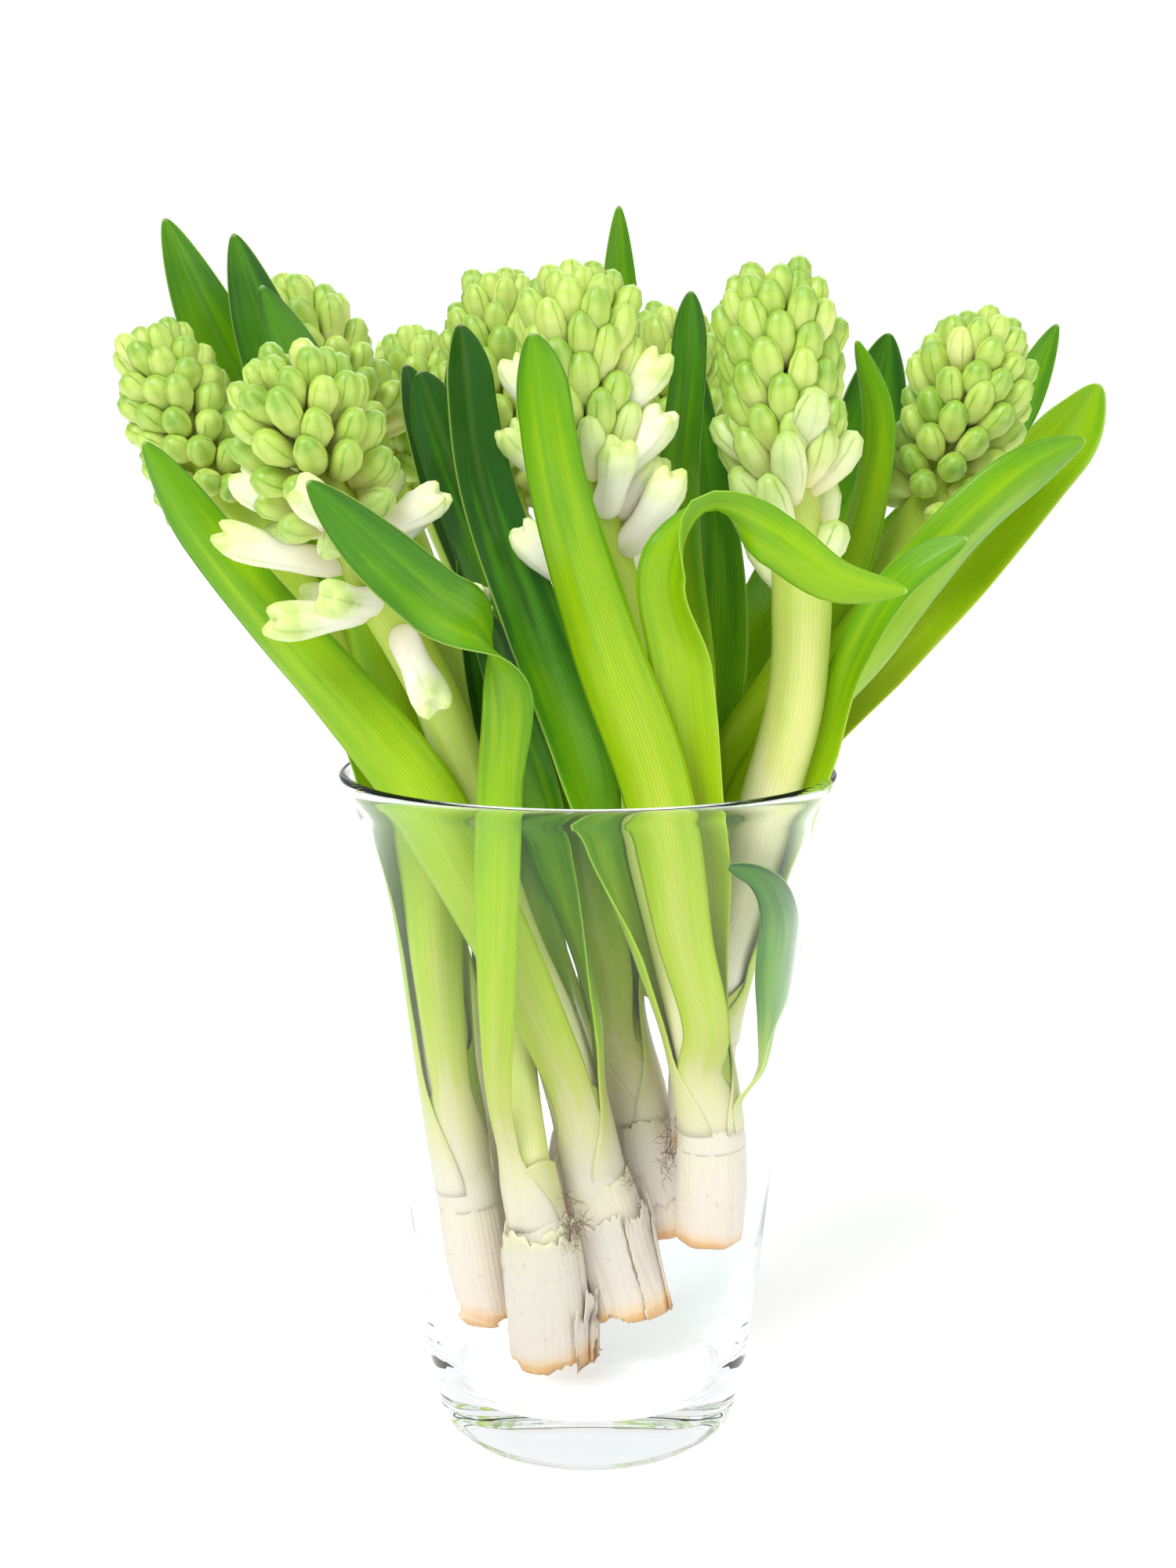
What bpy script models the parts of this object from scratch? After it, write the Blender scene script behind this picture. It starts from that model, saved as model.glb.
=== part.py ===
"""Nine cut hyacinths standing in a clear, tapered glass vase, at real size.

Units are metres, +Z is up and -Y is the front of the bunch. The origin is the centre of the
vase's flat foot. Each hyacinth is a cut bulb, a flower (its scape, rachis and florets grown
as one body) and its leaves, which sheathe the scape above the bulb before they spread.
Design points are lists in millimetres, chosen for each stem and blade.
"""

import math
from dataclasses import dataclass, field

import bmesh
import bpy
import numpy as np

MM = 0.001

# --- driving dimensions, in millimetres unless another unit is named ---
VASE_HEIGHT = 210.0
RIM_RADIUS = 75.0
VASE_SIDES = 36
TOUCH_GAP = 0.3
LEAF_GAP = 0.7

SCAPE_SIDES = 8
SCAPE_RINGS = 7
SCAPE_TOP_SHARE = 0.94
CORE_SHARE = 0.56
CORE_HEIGHTS = np.array([0.03, 0.25, 0.58, 0.90])
CORE_SWELL = np.array([0.62, 1.0, 0.86, 0.40])

BULB_SIDES = 10
BULB_HEIGHTS = np.array([0.0, 0.06, 0.4, 0.8, 1.0])
BULB_SWELL = np.array([0.84, 0.98, 1.0, 0.95, 0.88])

BUD_SIDES = 5
BUD_HEIGHTS = (0.0, 0.5)
BUD_SWELL = (0.45, 1.0)
BUD_LONGEST = 21.0
GOLDEN_ANGLE = math.radians(137.508)

NECK_SHEATH_RADIUS = 10.0
MEAN_SCAPE_RADIUS = 8.0
SHEATH_THICKNESS = 2.0
BLADE_THICKNESS = 1.3
BLADE_EDGE = 0.8
TIP_HALF_WIDTH = 0.6
TOP_BUD_RISE = 12.0
EAST = np.array([1.0, 0.0, 0.0])
SAMPLES_PER_SPAN = 24

GLASS = ((0.93, 0.97, 0.96, 1.0), 0.03)
BULB_WHITE = ((0.86, 0.81, 0.70, 1.0), 0.55)
FLORET_GREEN = ((0.60, 0.74, 0.36, 1.0), 0.45)
LEAF_GREEN = ((0.16, 0.42, 0.05, 1.0), 0.35)


@dataclass
class Leaf:
    """One strap leaf: where it leaves its sheath, then the free points of its spine."""

    azimuth: float
    hug: float
    points: list
    half_width: float = 11.0
    twist: tuple = (0.0,)
    sheath_half_angle: float = 44.0
    fold: float = 12.0
    cup: float = 30.0
    columns: int = 2
    rows: int = 11
    widest: float = 0.62


@dataclass
class Hyacinth:
    """One cut hyacinth: a route from the cut of its bulb to the tip of its flower."""

    route: list
    bulb_length: float
    bulb_radius: float
    head_length: float
    head_radius: float
    leaves: list
    buds: int = 34
    scape_radius: float = 8.0
    spread: tuple = (48.0, 30.0)
    bud_width: tuple = (6.6, 6.6)
    turn: float = 0.0
    strays: list = field(default_factory=list)


# A stray floret: share of the head from its foot, azimuth and angle from the axis in
# degrees, length and half width in millimetres.
HYACINTHS = [
    Hyacinth(
        route=[(-32, 13.5, 29), (-34.7, 12.8, 45), (-38.5, 12, 74), (-43, 11, 104), (-47, 10, 140),
               (-51, 11, 190), (-56, 11, 210), (-68, 11, 232), (-91, 11, 266),
               (-113, 12, 296), (-133, 15, 344)],
        bulb_length=45, bulb_radius=10.8, head_length=62, head_radius=22,
        turn=0.4, buds=22, scape_radius=7.6,
        leaves=[
            Leaf(278, 34, [(-46, -2, 150), (-47, -2, 178), (-50, -4, 207), (-57, -2, 240),
                           (-68, 5, 275), (-80, 9, 310), (-89, 9, 336), (-97, 10, 353)],
                 half_width=11, sheath_half_angle=38),
            Leaf(75, 34, [(-45, 22, 150), (-48, 24.5, 178), (-52, 27, 207), (-65, 30, 245),
                          (-80, 30, 285), (-90, 28, 318), (-100, 26, 345), (-107, 24, 369)],
                 half_width=11),
            Leaf(175, 40, [(-58.5, 9, 150), (-62.5, 3, 185), (-65, -5, 208), (-73, -12, 230),
                           (-88, -17, 256)],
                 half_width=7),
        ],
    ),
    Hyacinth(
        route=[(-11.5, 4, 19.6), (-13, 2, 45), (-16, 0, 68), (-20, -2, 90), (-23, 0, 112),
               (-25, 9, 140), (-26, 20, 190), (-26, 38, 260), (-27, 48, 310), (-29, 52, 362)],
        bulb_length=46, bulb_radius=12.4, head_length=78, head_radius=22,
        turn=1.3, buds=22, scape_radius=7.6,
        leaves=[
            Leaf(242, 26, [(-27, -20, 110), (-27, -33, 139), (-26, -42, 176), (-25, -46, 212),
                           (-24, -52, 238), (-28, -62, 254), (-42, -74, 267), (-58, -84, 283),
                           (-74, -86, 300)],
                 half_width=12.5, columns=4, rows=16, twist=(0, 20, 30, 20, 0, 0, 0, 0, 0)),
        ],
    ),
    Hyacinth(
        route=[(13.5, 10, 31), (8, 12, 55), (1.5, 10, 80), (-4, 4, 106), (-11, -5, 132),
               (-22, -12, 160), (-34, -18, 200), (-43, -26, 232), (-57, -36, 262),
               (-73, -48, 298), (-84, -62, 336)],
        bulb_length=48, bulb_radius=12.0, head_length=84, head_radius=24,
        turn=2.2, buds=26, scape_radius=7.6, spread=(78.0, 34.0),
        strays=[(0.02, 100, 118, 27, 4.6), (0.05, 300, 105, 26, 4.6), (0.0, 20, 100, 26, 4.6),
                (0.10, 200, 95, 27, 4.6)],
        leaves=[
            Leaf(268, 26, [(-18, -20, 143), (-36, -30, 182), (-50, -36, 209), (-70, -35, 234.5),
                           (-91, -32, 258), (-111, -28, 283), (-127, -25, 308)],
                 half_width=13.5, columns=4, rows=13),
            Leaf(5, 30, [(4, -1, 130), (-5, -9, 170), (-14, -16, 205), (-24, -23, 238),
                         (-30, -26, 260)], half_width=7, sheath_half_angle=36),
            Leaf(98, 18, [(-9, 7.6, 128), (-13.5, 2.2, 150), (-17, 0.8, 170), (-19, -1, 187),
                          (-25, -3.5, 210), (-31, -4, 240), (-34, -1, 272), (-37, 3, 300),
                          (-40, 8, 334)], half_width=6.5, sheath_half_angle=32, rows=13),
        ],
    ),
    Hyacinth(
        route=[(23, 30, 52), (21, 30.5, 70), (17.5, 31, 90), (9, 32, 120), (-1, 34, 155),
               (-14, 42, 200), (-36, 70, 255), (-54, 96, 296), (-62, 106, 345)],
        bulb_length=38, bulb_radius=10.8, head_length=60, head_radius=19,
        turn=0.9, buds=17, scape_radius=7.4,
        leaves=[
            Leaf(268, 28, [(7, 16, 140), (0, 4, 168), (-5, -6, 205), (-15, -14, 245),
                           (-27, -14, 270), (-38, -12, 297), (-49, -8, 328)],
                 half_width=11.5, columns=4, rows=12, sheath_half_angle=38),
            Leaf(182, 30, [(-12.5, 24.5, 160), (-14, 20, 178), (-15, 18, 205), (-28, 13, 245), (-44, 12, 290),
                           (-55, 15, 330)], half_width=10, sheath_half_angle=36,
                 twist=(0, 0, 0, -40, -60, -60)),
            Leaf(352, 24, [(17.5, 30, 130), (17.5, 30, 160), (21, 31, 188), (26, 32, 208),
                           (33, 31, 232), (36, 30, 258), (35, 29, 300), (29, 33, 338)],
                 half_width=7, sheath_half_angle=32),
        ],
    ),
    Hyacinth(
        route=[(38, -4, 62), (38, -5, 97), (34, -6, 122), (27, -8, 152), (18, -12, 190),
               (12, -20, 230), (8, -26, 262), (-1, -28, 309), (-3, -28, 361)],
        bulb_length=36, bulb_radius=10.8, head_length=106, head_radius=24,
        turn=0.0, buds=31, scape_radius=7.6, spread=(42.0, 28.0),
        strays=[(0.0, 200, 60, 26, 4.8)],
        leaves=[
            Leaf(262, 20, [(35, -20, 128), (28, -26, 161), (18, -36, 210), (3, -52, 254),
                           (-9, -62, 298), (-15, -60, 338)],
                 half_width=12.0, columns=4, rows=13, fold=18),
            Leaf(172, 26, [(14, -12, 155), (4, -20, 185), (-3, -28, 215), (-17, -36, 256),
                           (-31, -36, 300), (-36, -32, 341)],
                 half_width=9.5, columns=4, rows=12, sheath_half_angle=38),
            Leaf(25, 26, [(38, -4, 155), (36, -12, 180), (32, -24, 208), (27, -42, 248),
                          (23, -54, 276), (33, -59, 291), (50, -62, 283), (68, -61, 271),
                          (88, -56, 268)],
                 half_width=9.5, columns=4, rows=16, sheath_half_angle=36),
            Leaf(325, 6, [(53, -13, 120), (56, -12, 142), (57.4, -12.7, 168), (50, -20, 181),
                          (41, -22, 184)], half_width=7.5, rows=10, sheath_half_angle=11),
        ],
    ),
    Hyacinth(
        route=[(-1, 37.5, 44), (-2, 42, 84), (4, 48, 120), (12, 50, 155), (18, 54, 200),
               (24, 60, 260), (28, 65, 310), (28, 68, 352)],
        bulb_length=38, bulb_radius=10.8, head_length=62, head_radius=20,
        turn=2.9, buds=18, scape_radius=7.4,
        leaves=[
            Leaf(150, 30, [(2, 54, 160), (5, 57, 200), (4, 72, 240), (6, 86, 290),
                           (9, 86, 340), (10, 80, 381)], half_width=10),
        ],
    ),
    Hyacinth(
        route=[(-22, 32, 55), (-27, 34, 90), (-30, 37, 130), (-34, 41, 190), (-42, 48, 225),
               (-52, 57, 255), (-74, 67, 308), (-106, 75, 358)],
        bulb_length=38, bulb_radius=10.8, head_length=66, head_radius=22,
        turn=1.8, buds=20, scape_radius=7.4,
        leaves=[
            Leaf(195, 40, [(-45, 36, 155), (-50, 36.5, 205), (-66, 42, 245), (-90, 44, 290),
                           (-106, 41, 320), (-119, 37, 348), (-129, 32, 374)], half_width=12,
                 sheath_half_angle=36),
            Leaf(100, 40, [(-33, 50, 165), (-36, 52, 203), (-56, 66, 245), (-98, 66, 290),
                           (-118, 54, 325), (-128, 48, 353)], half_width=9,
                 sheath_half_angle=36),
        ],
    ),
    Hyacinth(
        route=[(37, 22, 84), (37, 21, 120), (42, 13, 148), (48, 4, 172), (54.5, -8, 202),
               (61, -16, 232), (62, -20, 262), (57, -21, 305), (52, -22, 361)],
        bulb_length=36, bulb_radius=10.4, head_length=104, head_radius=24,
        turn=0.6, buds=31, scape_radius=9.0, spread=(42.0, 28.0),
        leaves=[
            Leaf(210, 24, [(30, 8, 165), (32, 1, 205), (31, 3, 232), (27, 2, 276),
                           (27, -4, 304), (29, -6, 326), (30, -4, 351)], half_width=6,
                 sheath_half_angle=30),
            Leaf(350, 24, [(53, 9, 150), (59.5, 0, 174), (66, -11, 203), (70, -14, 218),
                           (79, -22, 248), (91, -29, 269), (108, -32, 281)], half_width=6.5,
                 sheath_half_angle=30),
        ],
    ),
    Hyacinth(
        route=[(27, 40, 128), (31, 38, 158), (39.5, 31, 182), (47.5, 25.5, 203), (64.5, 22, 232),
               (87, 21, 262), (105, 20, 290), (120, 10, 348)],
        bulb_length=30, bulb_radius=10.2, head_length=66, head_radius=22,
        turn=2.4, buds=22, scape_radius=7.4,
        leaves=[
            Leaf(12, 14, [(60, 25, 200), (69, 24, 213.5), (89, 30, 238), (115, 40, 265),
                          (139, 46, 293), (154, 48, 312), (162, 46, 327)],
                 half_width=15.5, columns=4, rows=13, fold=26, sheath_half_angle=30),
            Leaf(285, 14, [(50, 13, 198), (60, 3, 216), (80, -7, 242), (96, -11, 265),
                           (114, -14, 286), (133, -10, 301), (146, -5, 308)],
                 half_width=11, columns=4, rows=13, sheath_half_angle=26),
            Leaf(215, 14, [(35, 24, 190), (41, 14, 212), (56, 5, 236), (71, 4, 258),
                           (83, 6, 290), (86, 8, 313), (80, 9, 337)], half_width=8.5,
                 sheath_half_angle=30),
            Leaf(147, 20, [(38, 43, 205), (50, 52, 235), (68, 55, 265), (84, 55, 295),
                           (95, 53, 340)], half_width=9.5, sheath_half_angle=27),
            Leaf(87, 20, [(48.5, 35.5, 200), (58, 42, 221), (84, 56, 255), (110, 64, 283),
                          (136, 66, 313), (150, 64, 343)], half_width=9,
                 sheath_half_angle=27),
        ],
    ),
]


# --- curves and frames ---
def unit(vectors):
    """Unit vectors along the last axis."""
    vectors = np.asarray(vectors, float)
    return vectors / np.linalg.norm(vectors, axis=-1, keepdims=True)


class Path:
    """A smooth curve through design points, read by the length along it."""

    def __init__(self, points):
        points = np.asarray(points, float)
        spans = np.linalg.norm(np.diff(points, axis=0), axis=1)
        knots = np.concatenate([[0.0], np.cumsum(spans)])
        slopes = np.diff(points, axis=0) / spans[:, None]
        tangents = np.empty_like(points)
        tangents[0] = slopes[0]
        tangents[-1] = slopes[-1]
        before = spans[:-1, None]
        after = spans[1:, None]
        tangents[1:-1] = (slopes[:-1] * after + slopes[1:] * before) / (before + after)
        places = [points[:1]]
        for i, span in enumerate(spans):
            t = np.linspace(0.0, 1.0, SAMPLES_PER_SPAN + 1)[1:, None]
            places.append(
                (2 * t**3 - 3 * t**2 + 1) * points[i]
                + (t**3 - 2 * t**2 + t) * span * tangents[i]
                + (3 * t**2 - 2 * t**3) * points[i + 1]
                + (t**3 - t**2) * span * tangents[i + 1]
            )
        self.places = np.concatenate(places)
        steps = np.linalg.norm(np.diff(self.places, axis=0), axis=1)
        self.lengths = np.concatenate([[0.0], np.cumsum(steps)])
        self.total = float(self.lengths[-1])
        self.knot_lengths = np.interp(
            np.arange(len(points)) * SAMPLES_PER_SPAN, np.arange(len(self.lengths)), self.lengths
        )

    def at(self, length):
        """The point at a length along the curve."""
        return np.stack(
            [np.interp(length, self.lengths, self.places[:, k]) for k in range(3)], axis=-1
        )

    def along(self, length):
        """The unit tangent at a length along the curve."""
        step = self.total / 400
        low = np.clip(np.asarray(length) - step, 0.0, self.total - 2 * step)
        return unit(self.at(low + 2 * step) - self.at(low))

    def frames(self, lengths, first_normal):
        """Tangents and normals that turn as little as they can along the curve."""
        fine = np.linspace(0.0, self.total, 241)
        tangents = self.along(fine)
        normals = np.empty_like(tangents)
        normals[0] = unit(first_normal - np.dot(first_normal, tangents[0]) * tangents[0])
        for i in range(1, len(fine)):
            turned = normals[i - 1] - np.dot(normals[i - 1], tangents[i]) * tangents[i]
            normals[i] = unit(turned)
        picked = np.stack(
            [np.interp(lengths, fine, normals[:, k]) for k in range(3)], axis=-1
        )
        along = self.along(lengths)
        picked -= (picked * along).sum(axis=-1, keepdims=True) * along
        return along, unit(picked)


def across(azimuth_degrees, tangent):
    """The direction of a compass azimuth, squared to a stalk's tangent."""
    angle = math.radians(azimuth_degrees)
    flat = np.array([math.cos(angle), math.sin(angle), 0.0])
    return unit(flat - np.dot(flat, tangent) * tangent)


def ease(low, high, value):
    """A smooth step from 0 at low to 1 at high."""
    t = np.clip((np.asarray(value, float) - low) / (high - low), 0.0, 1.0)
    return t * t * (3 - 2 * t)


# --- meshes ---
def finish(obj, colour_and_roughness, transmission=0.0):
    """Gives the object a material of its own."""
    colour, roughness = colour_and_roughness
    material = bpy.data.materials.new(obj.name + "_finish")
    material.use_nodes = True
    shader = material.node_tree.nodes["Principled BSDF"]
    shader.inputs["Base Color"].default_value = colour
    shader.inputs["Roughness"].default_value = roughness
    shader.inputs["Metallic"].default_value = 0.0
    shader.inputs["Transmission Weight"].default_value = transmission
    obj.data.materials.append(material)


def new_object(name, bm, smooth_degrees=50.0):
    """Turns a bmesh in millimetres into a named object in metres."""
    bmesh.ops.scale(bm, vec=(MM, MM, MM), verts=bm.verts)
    mesh = bpy.data.meshes.new(name)
    bm.to_mesh(mesh)
    bm.free()
    mesh.shade_smooth()
    mesh.set_sharp_from_angle(angle=math.radians(smooth_degrees))
    obj = bpy.data.objects.new(name, mesh)
    bpy.context.scene.collection.objects.link(obj)
    return obj


def add_loft(bm, rings, closed_ends=True):
    """Skins a stack of rings of points with triangles, and caps both ends."""
    verts = [[bm.verts.new(point) for point in ring] for ring in rings]
    count = len(verts[0])
    for low, high in zip(verts, verts[1:]):
        for i in range(count):
            j = (i + 1) % count
            bm.faces.new((low[i], low[j], high[j]))
            bm.faces.new((low[i], high[j], high[i]))
    if closed_ends:
        bm.faces.new(list(reversed(verts[0])))
        bm.faces.new(verts[-1])
    return verts


def ring_about(centre, tangent, normal, radius, sides, phase=0.0):
    """A ring of points about a centre, square to the tangent, counter-clockwise."""
    side = np.cross(tangent, normal)
    angles = phase + np.arange(sides) * 2 * math.pi / sides
    return centre + radius * (
        np.cos(angles)[:, None] * normal + np.sin(angles)[:, None] * side
    )


def add_point_end(bm, ring, tip):
    """Closes a ring with a fan to one point."""
    apex = bm.verts.new(tip)
    for i in range(len(ring)):
        bm.faces.new((ring[i], ring[(i + 1) % len(ring)], apex))


# --- vase ---
def vase_profile():
    """Radius and height of the glass, from the middle of the foot round to the inner floor."""
    outer = [(32.0, 0.0), (40.5, 1.8), (45.6, 7.0), (47.6, 15.0), (57.0, 85.0), (65.0, 143.0),
             (68.0, 172.0), (69.8, 197.0)]
    lip = [(72.4, 203.5), (RIM_RADIUS, VASE_HEIGHT - 3.0), (RIM_RADIUS, VASE_HEIGHT - 0.8),
           (RIM_RADIUS - 1.4, VASE_HEIGHT), (RIM_RADIUS - 3.2, VASE_HEIGHT - 1.0),
           (69.9, 204.0)]
    inner = [(67.2, 197.0), (65.5, 172.0), (62.4, 143.0), (54.5, 85.0), (49.8, 50.0),
             (45.2, 28.0), (42.0, 20.5), (36.0, 18.0)]
    return outer + lip + inner


def make_vase():
    """The tapered glass, thick at its floor, with a flared and rounded lip."""
    bm = bmesh.new()
    rings = []
    for radius, height in vase_profile():
        angles = np.arange(VASE_SIDES) * 2 * math.pi / VASE_SIDES
        rings.append(np.stack([radius * np.cos(angles), radius * np.sin(angles),
                               np.full(VASE_SIDES, height)], axis=1))
    add_loft(bm, rings)
    vase = new_object("vase", bm, smooth_degrees=40.0)
    finish(vase, GLASS, transmission=1.0)


# --- hyacinth parts ---
def make_bulb(name, plant, stalk):
    """The cut bulb: a blunt, uneven core that narrows to the neck."""
    bm = bmesh.new()
    lengths = BULB_HEIGHTS * plant.bulb_length
    tangents, normals = stalk.frames(lengths, EAST)
    rings = []
    for swell, tangent, normal, length in zip(BULB_SWELL, tangents, normals, lengths):
        radius = swell * plant.bulb_radius
        rings.append(ring_about(stalk.at(length), tangent, normal, radius, BULB_SIDES))
    add_loft(bm, rings)
    bulb = new_object(name, bm)
    finish(bulb, BULB_WHITE)


@dataclass
class Bud:
    """One floret: where it stands, the way it leans and its size."""

    foot: np.ndarray
    axis: np.ndarray
    outward: np.ndarray
    lean: float
    length: float
    half_width: float


def bud_rings(bud):
    """Rings and tip of one bud, which bends from its outward foot towards the axis."""
    start = math.radians(min(bud.lean + 18.0, 150.0))
    end = math.radians(max(bud.lean - 14.0, 6.0))
    side = unit(np.cross(bud.axis, bud.outward))
    rings = []
    for share, swell in zip(BUD_HEIGHTS, BUD_SWELL):
        angle = start + (end - start) * share
        middle = start + (end - start) * share / 2
        reach = math.cos(middle) * bud.axis + math.sin(middle) * bud.outward
        tangent = math.cos(angle) * bud.axis + math.sin(angle) * bud.outward
        rings.append(ring_about(bud.foot + share * bud.length * reach, tangent,
                                np.cross(side, tangent), swell * bud.half_width, BUD_SIDES))
    middle = (start + end) / 2
    reach = math.cos(middle) * bud.axis + math.sin(middle) * bud.outward
    return rings, bud.foot + bud.length * reach


def head_buds(plant, stalk):
    """The buds of one head, a golden angle apart from the foot of the head to its tip."""
    foot_length = stalk.total - plant.head_length
    climb = plant.head_length - TOP_BUD_RISE
    wide_low, wide_top = plant.bud_width
    lean_low, lean_top = plant.spread
    buds = []
    for i in range(plant.buds):
        share = (i + 0.5) / plant.buds
        height = foot_length + climb * share**0.92
        tangents, normals = stalk.frames(np.array([height]), EAST)
        tangent = tangents[0]
        normal = normals[0]
        angle = plant.turn + i * GOLDEN_ANGLE
        outward = math.cos(angle) * normal + math.sin(angle) * np.cross(tangent, normal)
        crown = float(ease(0.78, 1.0, share))
        lean = (lean_low + (lean_top - lean_low) * share) * (1.0 - 0.55 * crown)
        swell = math.sin(math.pi * (0.30 + 0.58 * share)) ** 0.6
        core = plant.head_radius * CORE_SHARE
        root = (0.66 * (1.0 - share) + 0.22 * share) * core
        leaning = max(math.sin(math.radians(lean + 2.0)), 0.45)
        length = (plant.head_radius * swell - root) / leaning
        longest = BUD_LONGEST - 5.0 * share
        length = min(max(length, TOP_BUD_RISE), longest)
        half_width = wide_low + (wide_top - wide_low) * share
        foot = stalk.at(height) + root * outward
        buds.append(Bud(foot, tangent, outward, lean, length, half_width))
    for share, azimuth, lean, length, half_width in plant.strays:
        height = foot_length + plant.head_length * share
        tangent = stalk.along(height)
        outward = across(azimuth, tangent)
        foot = stalk.at(height) + 3.0 * outward
        buds.append(Bud(foot, tangent, outward, lean, length, half_width))
    return buds


def make_scape(plant, stalk):
    """The stalk above the bulb, swollen to the core that the buds stand on."""
    foot_length = stalk.total - plant.head_length
    start = plant.bulb_length + TOUCH_GAP
    below = np.linspace(start, foot_length - 8.0, SCAPE_RINGS)
    inside = foot_length + plant.head_length * CORE_HEIGHTS
    lengths = np.concatenate([below, inside])
    tangents, normals = stalk.frames(lengths, EAST)
    radii = np.concatenate([
        plant.scape_radius * np.linspace(1.0, SCAPE_TOP_SHARE, SCAPE_RINGS),
        plant.head_radius * CORE_SHARE * CORE_SWELL,
    ])
    bm = bmesh.new()
    rings = [ring_about(stalk.at(length), tangent, normal, radius, SCAPE_SIDES)
             for length, tangent, normal, radius in zip(lengths, tangents, normals, radii)]
    add_loft(bm, rings)
    return bm


def make_flower(name, plant, stalk):
    """Scape, rachis and florets, joined in one body by one Boolean union."""
    flower = new_object(name, make_scape(plant, stalk))
    florets = bpy.data.collections.new(name + "_florets")
    bpy.context.scene.collection.children.link(florets)
    for floret in head_buds(plant, stalk):
        bm = bmesh.new()
        rings, tip = bud_rings(floret)
        verts = add_loft(bm, rings, closed_ends=False)
        bm.faces.new(list(reversed(verts[0])))
        add_point_end(bm, verts[-1], tip)
        bud = new_object(name + "_floret", bm)
        bpy.context.scene.collection.objects.unlink(bud)
        florets.objects.link(bud)
    union = flower.modifiers.new("join_florets", "BOOLEAN")
    union.operation = "UNION"
    union.operand_type = "COLLECTION"
    union.collection = florets
    union.solver = "MANIFOLD"
    bpy.context.view_layer.update()
    graph = bpy.context.evaluated_depsgraph_get()
    joined = bpy.data.meshes.new_from_object(flower.evaluated_get(graph))
    flower.modifiers.clear()
    flower.data = joined
    for bud in list(florets.objects):
        bpy.data.objects.remove(bud)
    bpy.data.collections.remove(florets)
    finish(flower, FLORET_GREEN)


def leaf_spine(plant, stalk, leaf):
    """The leaf's spine: up its sheath beside the scape, then through its free points."""
    start = plant.bulb_length + LEAF_GAP
    radius = plant.scape_radius - MEAN_SCAPE_RADIUS + NECK_SHEATH_RADIUS
    sheath = []
    for share in (0.0, 0.5, 1.0):
        length = start + share * leaf.hug
        sheath.append(stalk.at(length) + radius * across(leaf.azimuth, stalk.along(length)))
    spine = Path(sheath + leaf.points)
    inward = -across(leaf.azimuth, stalk.along(start))
    return spine, inward, radius, spine.knot_lengths[2] / spine.total


def leaf_width(leaf, sheath_width, share, sheath_share):
    """Half the blade's width at a share of its length."""
    rise = ease(sheath_share * 0.6, leaf.widest, share)
    body = sheath_width + (leaf.half_width - sheath_width) * rise
    past = np.clip((share - leaf.widest) / (1.0 - leaf.widest), 0.0, 1.0)
    return body * np.maximum(1.0 - past**2.6, 0.0) ** 0.6 + TIP_HALF_WIDTH


def leaf_sections(plant, stalk, leaf, shares, columns):
    """Points of the inner and outer face across the blade, at shares of its length."""
    spine, inward, radius, sheath_share = leaf_spine(plant, stalk, leaf)
    lengths = shares * spine.total
    tangents, normals = spine.frames(lengths, inward)
    knots = spine.knot_lengths[2:] / spine.total
    held = [leaf.twist[-1]] * (len(knots) - 1 - len(leaf.twist))
    turns = np.radians(np.interp(shares, knots, [0.0, *leaf.twist, *held]))
    sheath_width = radius * math.radians(leaf.sheath_half_angle)
    widths = leaf_width(leaf, sheath_width, shares, sheath_share)
    free = ease(sheath_share * 0.8, min(sheath_share + 0.3, 0.9), shares)
    bends = (1 - free) / radius + free / leaf.cup
    folds = free * math.radians(leaf.fold)
    halves = 0.5 * (SHEATH_THICKNESS + (BLADE_THICKNESS - SHEATH_THICKNESS) * free)
    edge = 0.5 * BLADE_EDGE
    faces = []
    for row, turn in enumerate(turns):
        tangent = tangents[row]
        side = np.cross(tangent, normals[row])
        normal = math.cos(turn) * normals[row] + math.sin(turn) * side
        side = np.cross(tangent, normal)
        inner = []
        outer = []
        for u in np.linspace(-1.0, 1.0, columns + 1):
            reach = abs(u) * widths[row]
            angle = folds[row] + bends[row] * reach
            sideways = (math.sin(angle) - math.sin(folds[row])) / bends[row]
            lift = (math.cos(folds[row]) - math.cos(angle)) / bends[row]
            middle = spine.at(lengths[row]) + math.copysign(sideways, u) * side + lift * normal
            lean = 0.0 if u == 0 else math.copysign(math.sin(angle), u)
            upright = unit(normal * math.cos(angle) - side * lean) if u else normal
            half = halves[row] + (edge - halves[row]) * abs(u) ** 2
            inner.append(middle + half * upright)
            outer.append(middle - half * upright)
        faces.append((inner, outer))
    return faces


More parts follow.
